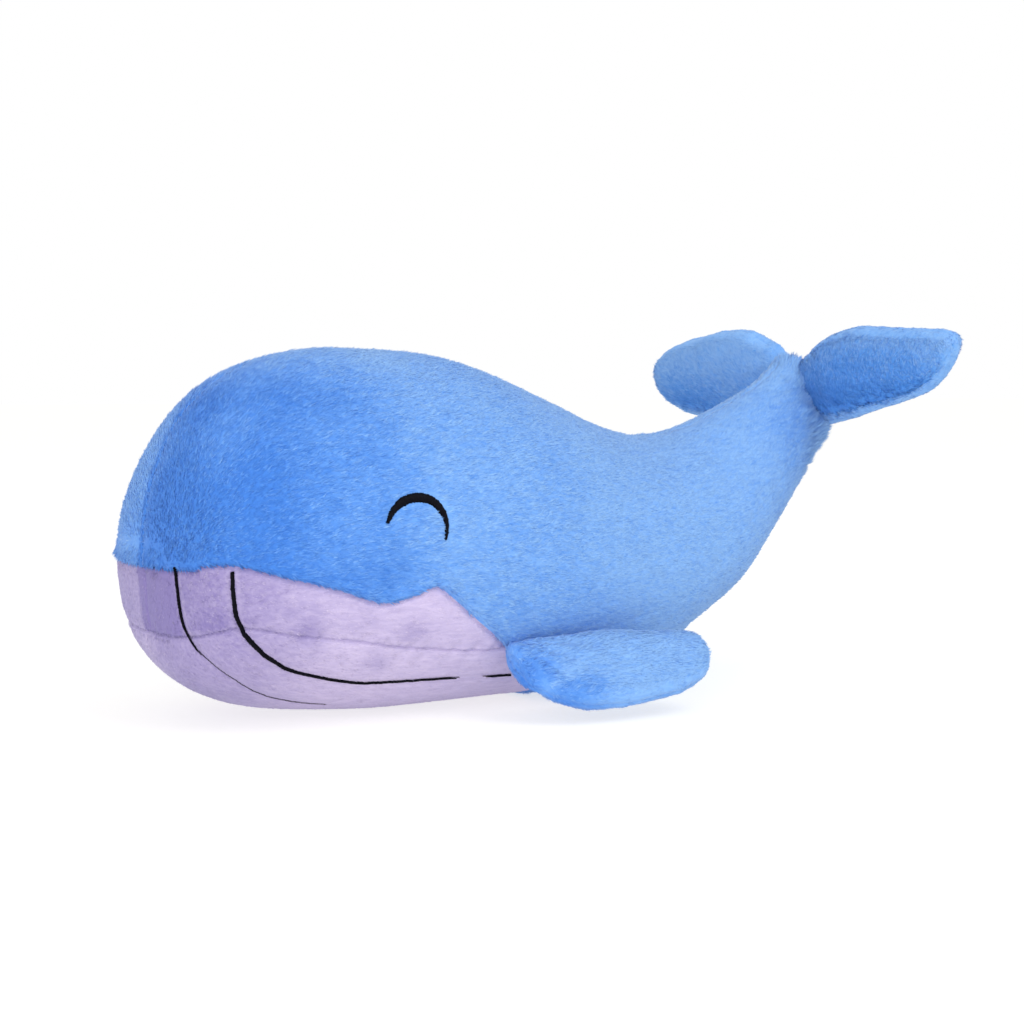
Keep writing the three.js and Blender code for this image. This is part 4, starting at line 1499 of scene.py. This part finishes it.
def plush(name, dark, middle, light, sheen):
    material, tree, shader = new_material(name)
    stretch = node_of(tree, "ShaderNodeMapping")
    stretch.inputs["Scale"].default_value = (220, 900, 900)
    place = node_of(tree, "ShaderNodeTexCoord").outputs["Object"]
    tree.links.new(place, stretch.inputs["Vector"])
    streaks = noise_of(tree, stretch.outputs[0], Scale=1, Detail=3, Distortion=0.6)
    streak = combine(tree, "MULTIPLY", combine(tree, "SUBTRACT", streaks, 0.5), 0.6)
    level = combine(tree, "ADD", attribute_of(tree, "nap_and_painted_light"), streak)
    # tip: painted shade at the leaf roots, deep in the pile; tone: each leaf's random tone
    for attribute, weight in (("tone", 0.12), ("tip", 0.16)):
        added = combine(tree, "MULTIPLY", attribute_of(tree, attribute), weight)
        level = combine(tree, "ADD", level, added)
    level = combine(tree, "SUBTRACT", level, 0.08, clamp=True)
    tint(tree, level, shader, dark, middle, light)
    bump = node_of(tree, "ShaderNodeBump")
    set_inputs(bump, {"Strength": 0.35, "Distance": 0.4 * MM})
    tree.links.new(streaks, bump.inputs["Height"])
    tree.links.new(bump.outputs["Normal"], shader.inputs["Normal"])
    set_inputs(shader, {
        "Roughness": 0.9,
        "Specular IOR Level": 0.15,
        "Sheen Weight": sheen,
        "Sheen Roughness": 0.45,
        "Sheen Tint": colour("dce8ff"),
    })
    return material


blue_plush = plush("blue plush", "4682da", "669de9", "8bb9f0", 0.3)
deep_blue_plush = plush("deep blue plush", "4487da", "609ee9", "8cbaf1", 0.2)
lavender_plush = plush("lavender plush", "897db4", "b4a8d0", "d6c9e8", 0.2)


# %% Thread and filling
black_thread, tree, shader = new_material("black thread")
level = combine(tree, "MULTIPLY", attribute_of(tree, "tone"), 0.25)
level = combine(tree, "ADD", level, 0.5, clamp=True)
tint(tree, level, shader, "010107", "0a0914")
set_inputs(shader, {"Roughness": 0.55, "Specular IOR Level": 0.08})

white_fibre, tree, shader = new_material("white fibre")
place = node_of(tree, "ShaderNodeTexCoord").outputs["Object"]
tint(tree, noise_of(tree, place, Scale=400, Detail=6), shader, "dcdad4", "fbfaf7")
shader.inputs["Roughness"].default_value = 1

# %% Ride and replace
# Where cloth would begin to follow its limb and where it would follow it fully, in its own axes; only
# the limb names are used below.
BENDS = {
    "flipper": (Vector((0, 0, 4.5)) * MM, Vector((0, 0, -4.5)) * MM),
    "fluke": (Vector((5, 0, 0)) * MM, Vector((17, 0, 0)) * MM),
}


def attach(node, piece):
    """Rides on the torso, or keeps a limb's piece where it is, with its place baked into its mesh."""
    limb = next((kind for kind in BENDS if kind in node), None)
    if limb is None:
        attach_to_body(piece, "torso")
        return
    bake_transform(piece)


def finish_piece(node, piece, material, replaces=True):
    piece.data.materials.clear()
    piece.data.materials.append(material)
    attach(node, piece)
    if replaces:
        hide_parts(node)


FINISHES = {
    "lavender": (lavender_plush, "lavender_plush"),
    "fluke": (deep_blue_plush, "deep_blue_plush"),
    "flipper": (blue_plush, "blue_plush"),
    "blue": (blue_plush, "blue_plush"),
}
for node in cloth:
    material, slot = FINISHES[family_of(node)]
    finish_piece(node, cloth[node], material)
    finish_piece(node, piles[node], material, replaces=False)
for node, piece in stitching.items():
    finish_piece(node, piece, black_thread)
for node, piece in fillings.items():
    finish_piece(node, piece, white_fibre)

# %% [markdown]
# ## Floor and light
#
# The toy lies on a white sweep in soft daylight. One large lamp stands to the right of
# the camera and above it, another stands lower on the left, and the world is white.

# %% Floor, lamps and world
FLOOR_SIZE = 6
FLOOR_GLOW_SHARE = 0.28
WORLD_LIGHT_SHARE = 0.76
BACKDROP_SHARE = 0.24  # what only the rays get that show the backdrop
KEY_PLACE = (0.35, -1.0, 1.1)
FILL_PLACE = (-0.95, -0.85, 0.35)
LAMP_SIZE = 0.9
LAMP_WATTS = 6


def lit_for_show(tree, share):
    """A share for every ray, and more for rays that show: straight, mirrored, through."""
    path = node_of(tree, "ShaderNodeLightPath")
    rays = combine(tree, "ADD", path.outputs["Is Camera Ray"], path.outputs["Is Glossy Ray"])
    rays = combine(tree, "ADD", rays, path.outputs["Is Transmission Ray"], clamp=True)
    return combine(tree, "ADD", combine(tree, "MULTIPLY", rays, BACKDROP_SHARE), share)


def mix_of(tree, share, first, second):
    mixed = node_of(tree, "ShaderNodeMixShader")
    for socket, value in zip(mixed.inputs, (share, first, second)):
        tree.links.new(value, socket)
    return mixed.outputs["Shader"]


def lamp(name, place):
    light = bpy.data.lights.new(name, "AREA")
    light.shape = "DISK"
    light.size = LAMP_SIZE
    light.energy = LAMP_WATTS
    made = object_of(light)
    made.location = Vector(place)
    made.rotation_euler = (CAMERA_TARGET - made.location).to_track_quat("-Z", "Y").to_euler()


floor_mesh = bmesh.new()
bmesh.ops.create_grid(floor_mesh, x_segments=1, y_segments=1, size=FLOOR_SIZE)
floor = new_piece("floor", floor_mesh)
floor_material, tree, shader = new_material("white sweep")
set_inputs(shader, {"Base Color": colour("f7f5ef"), "Roughness": 1, "Specular IOR Level": 0})
glow = node_of(tree, "ShaderNodeEmission")
glow.inputs["Strength"].default_value = 1.3
glow_share = lit_for_show(tree, FLOOR_GLOW_SHARE)
seen_above = mix_of(tree, glow_share, shader.outputs["BSDF"], glow.outputs["Emission"])
behind = node_of(tree, "ShaderNodeNewGeometry").outputs["Backfacing"]
clear = node_of(tree, "ShaderNodeBsdfTransparent").outputs["BSDF"]
sweep = mix_of(tree, behind, seen_above, clear)
tree.links.new(sweep, tree.nodes["Material Output"].inputs["Surface"])
floor.data.materials.append(floor_material)

lamp("key", KEY_PLACE)
lamp("fill", FILL_PLACE)
world = bpy.data.worlds.new("daylight")
bpy.context.scene.world = world
world.use_nodes = True
background = world.node_tree.nodes["Background"]
background.inputs["Color"].default_value = (1, 1, 1, 1)
strength = lit_for_show(world.node_tree, WORLD_LIGHT_SHARE)
world.node_tree.links.new(strength, background.inputs["Strength"])
bpy.context.scene.view_settings.view_transform = "Standard"

# %% Finish
bpy.context.view_layer.update()
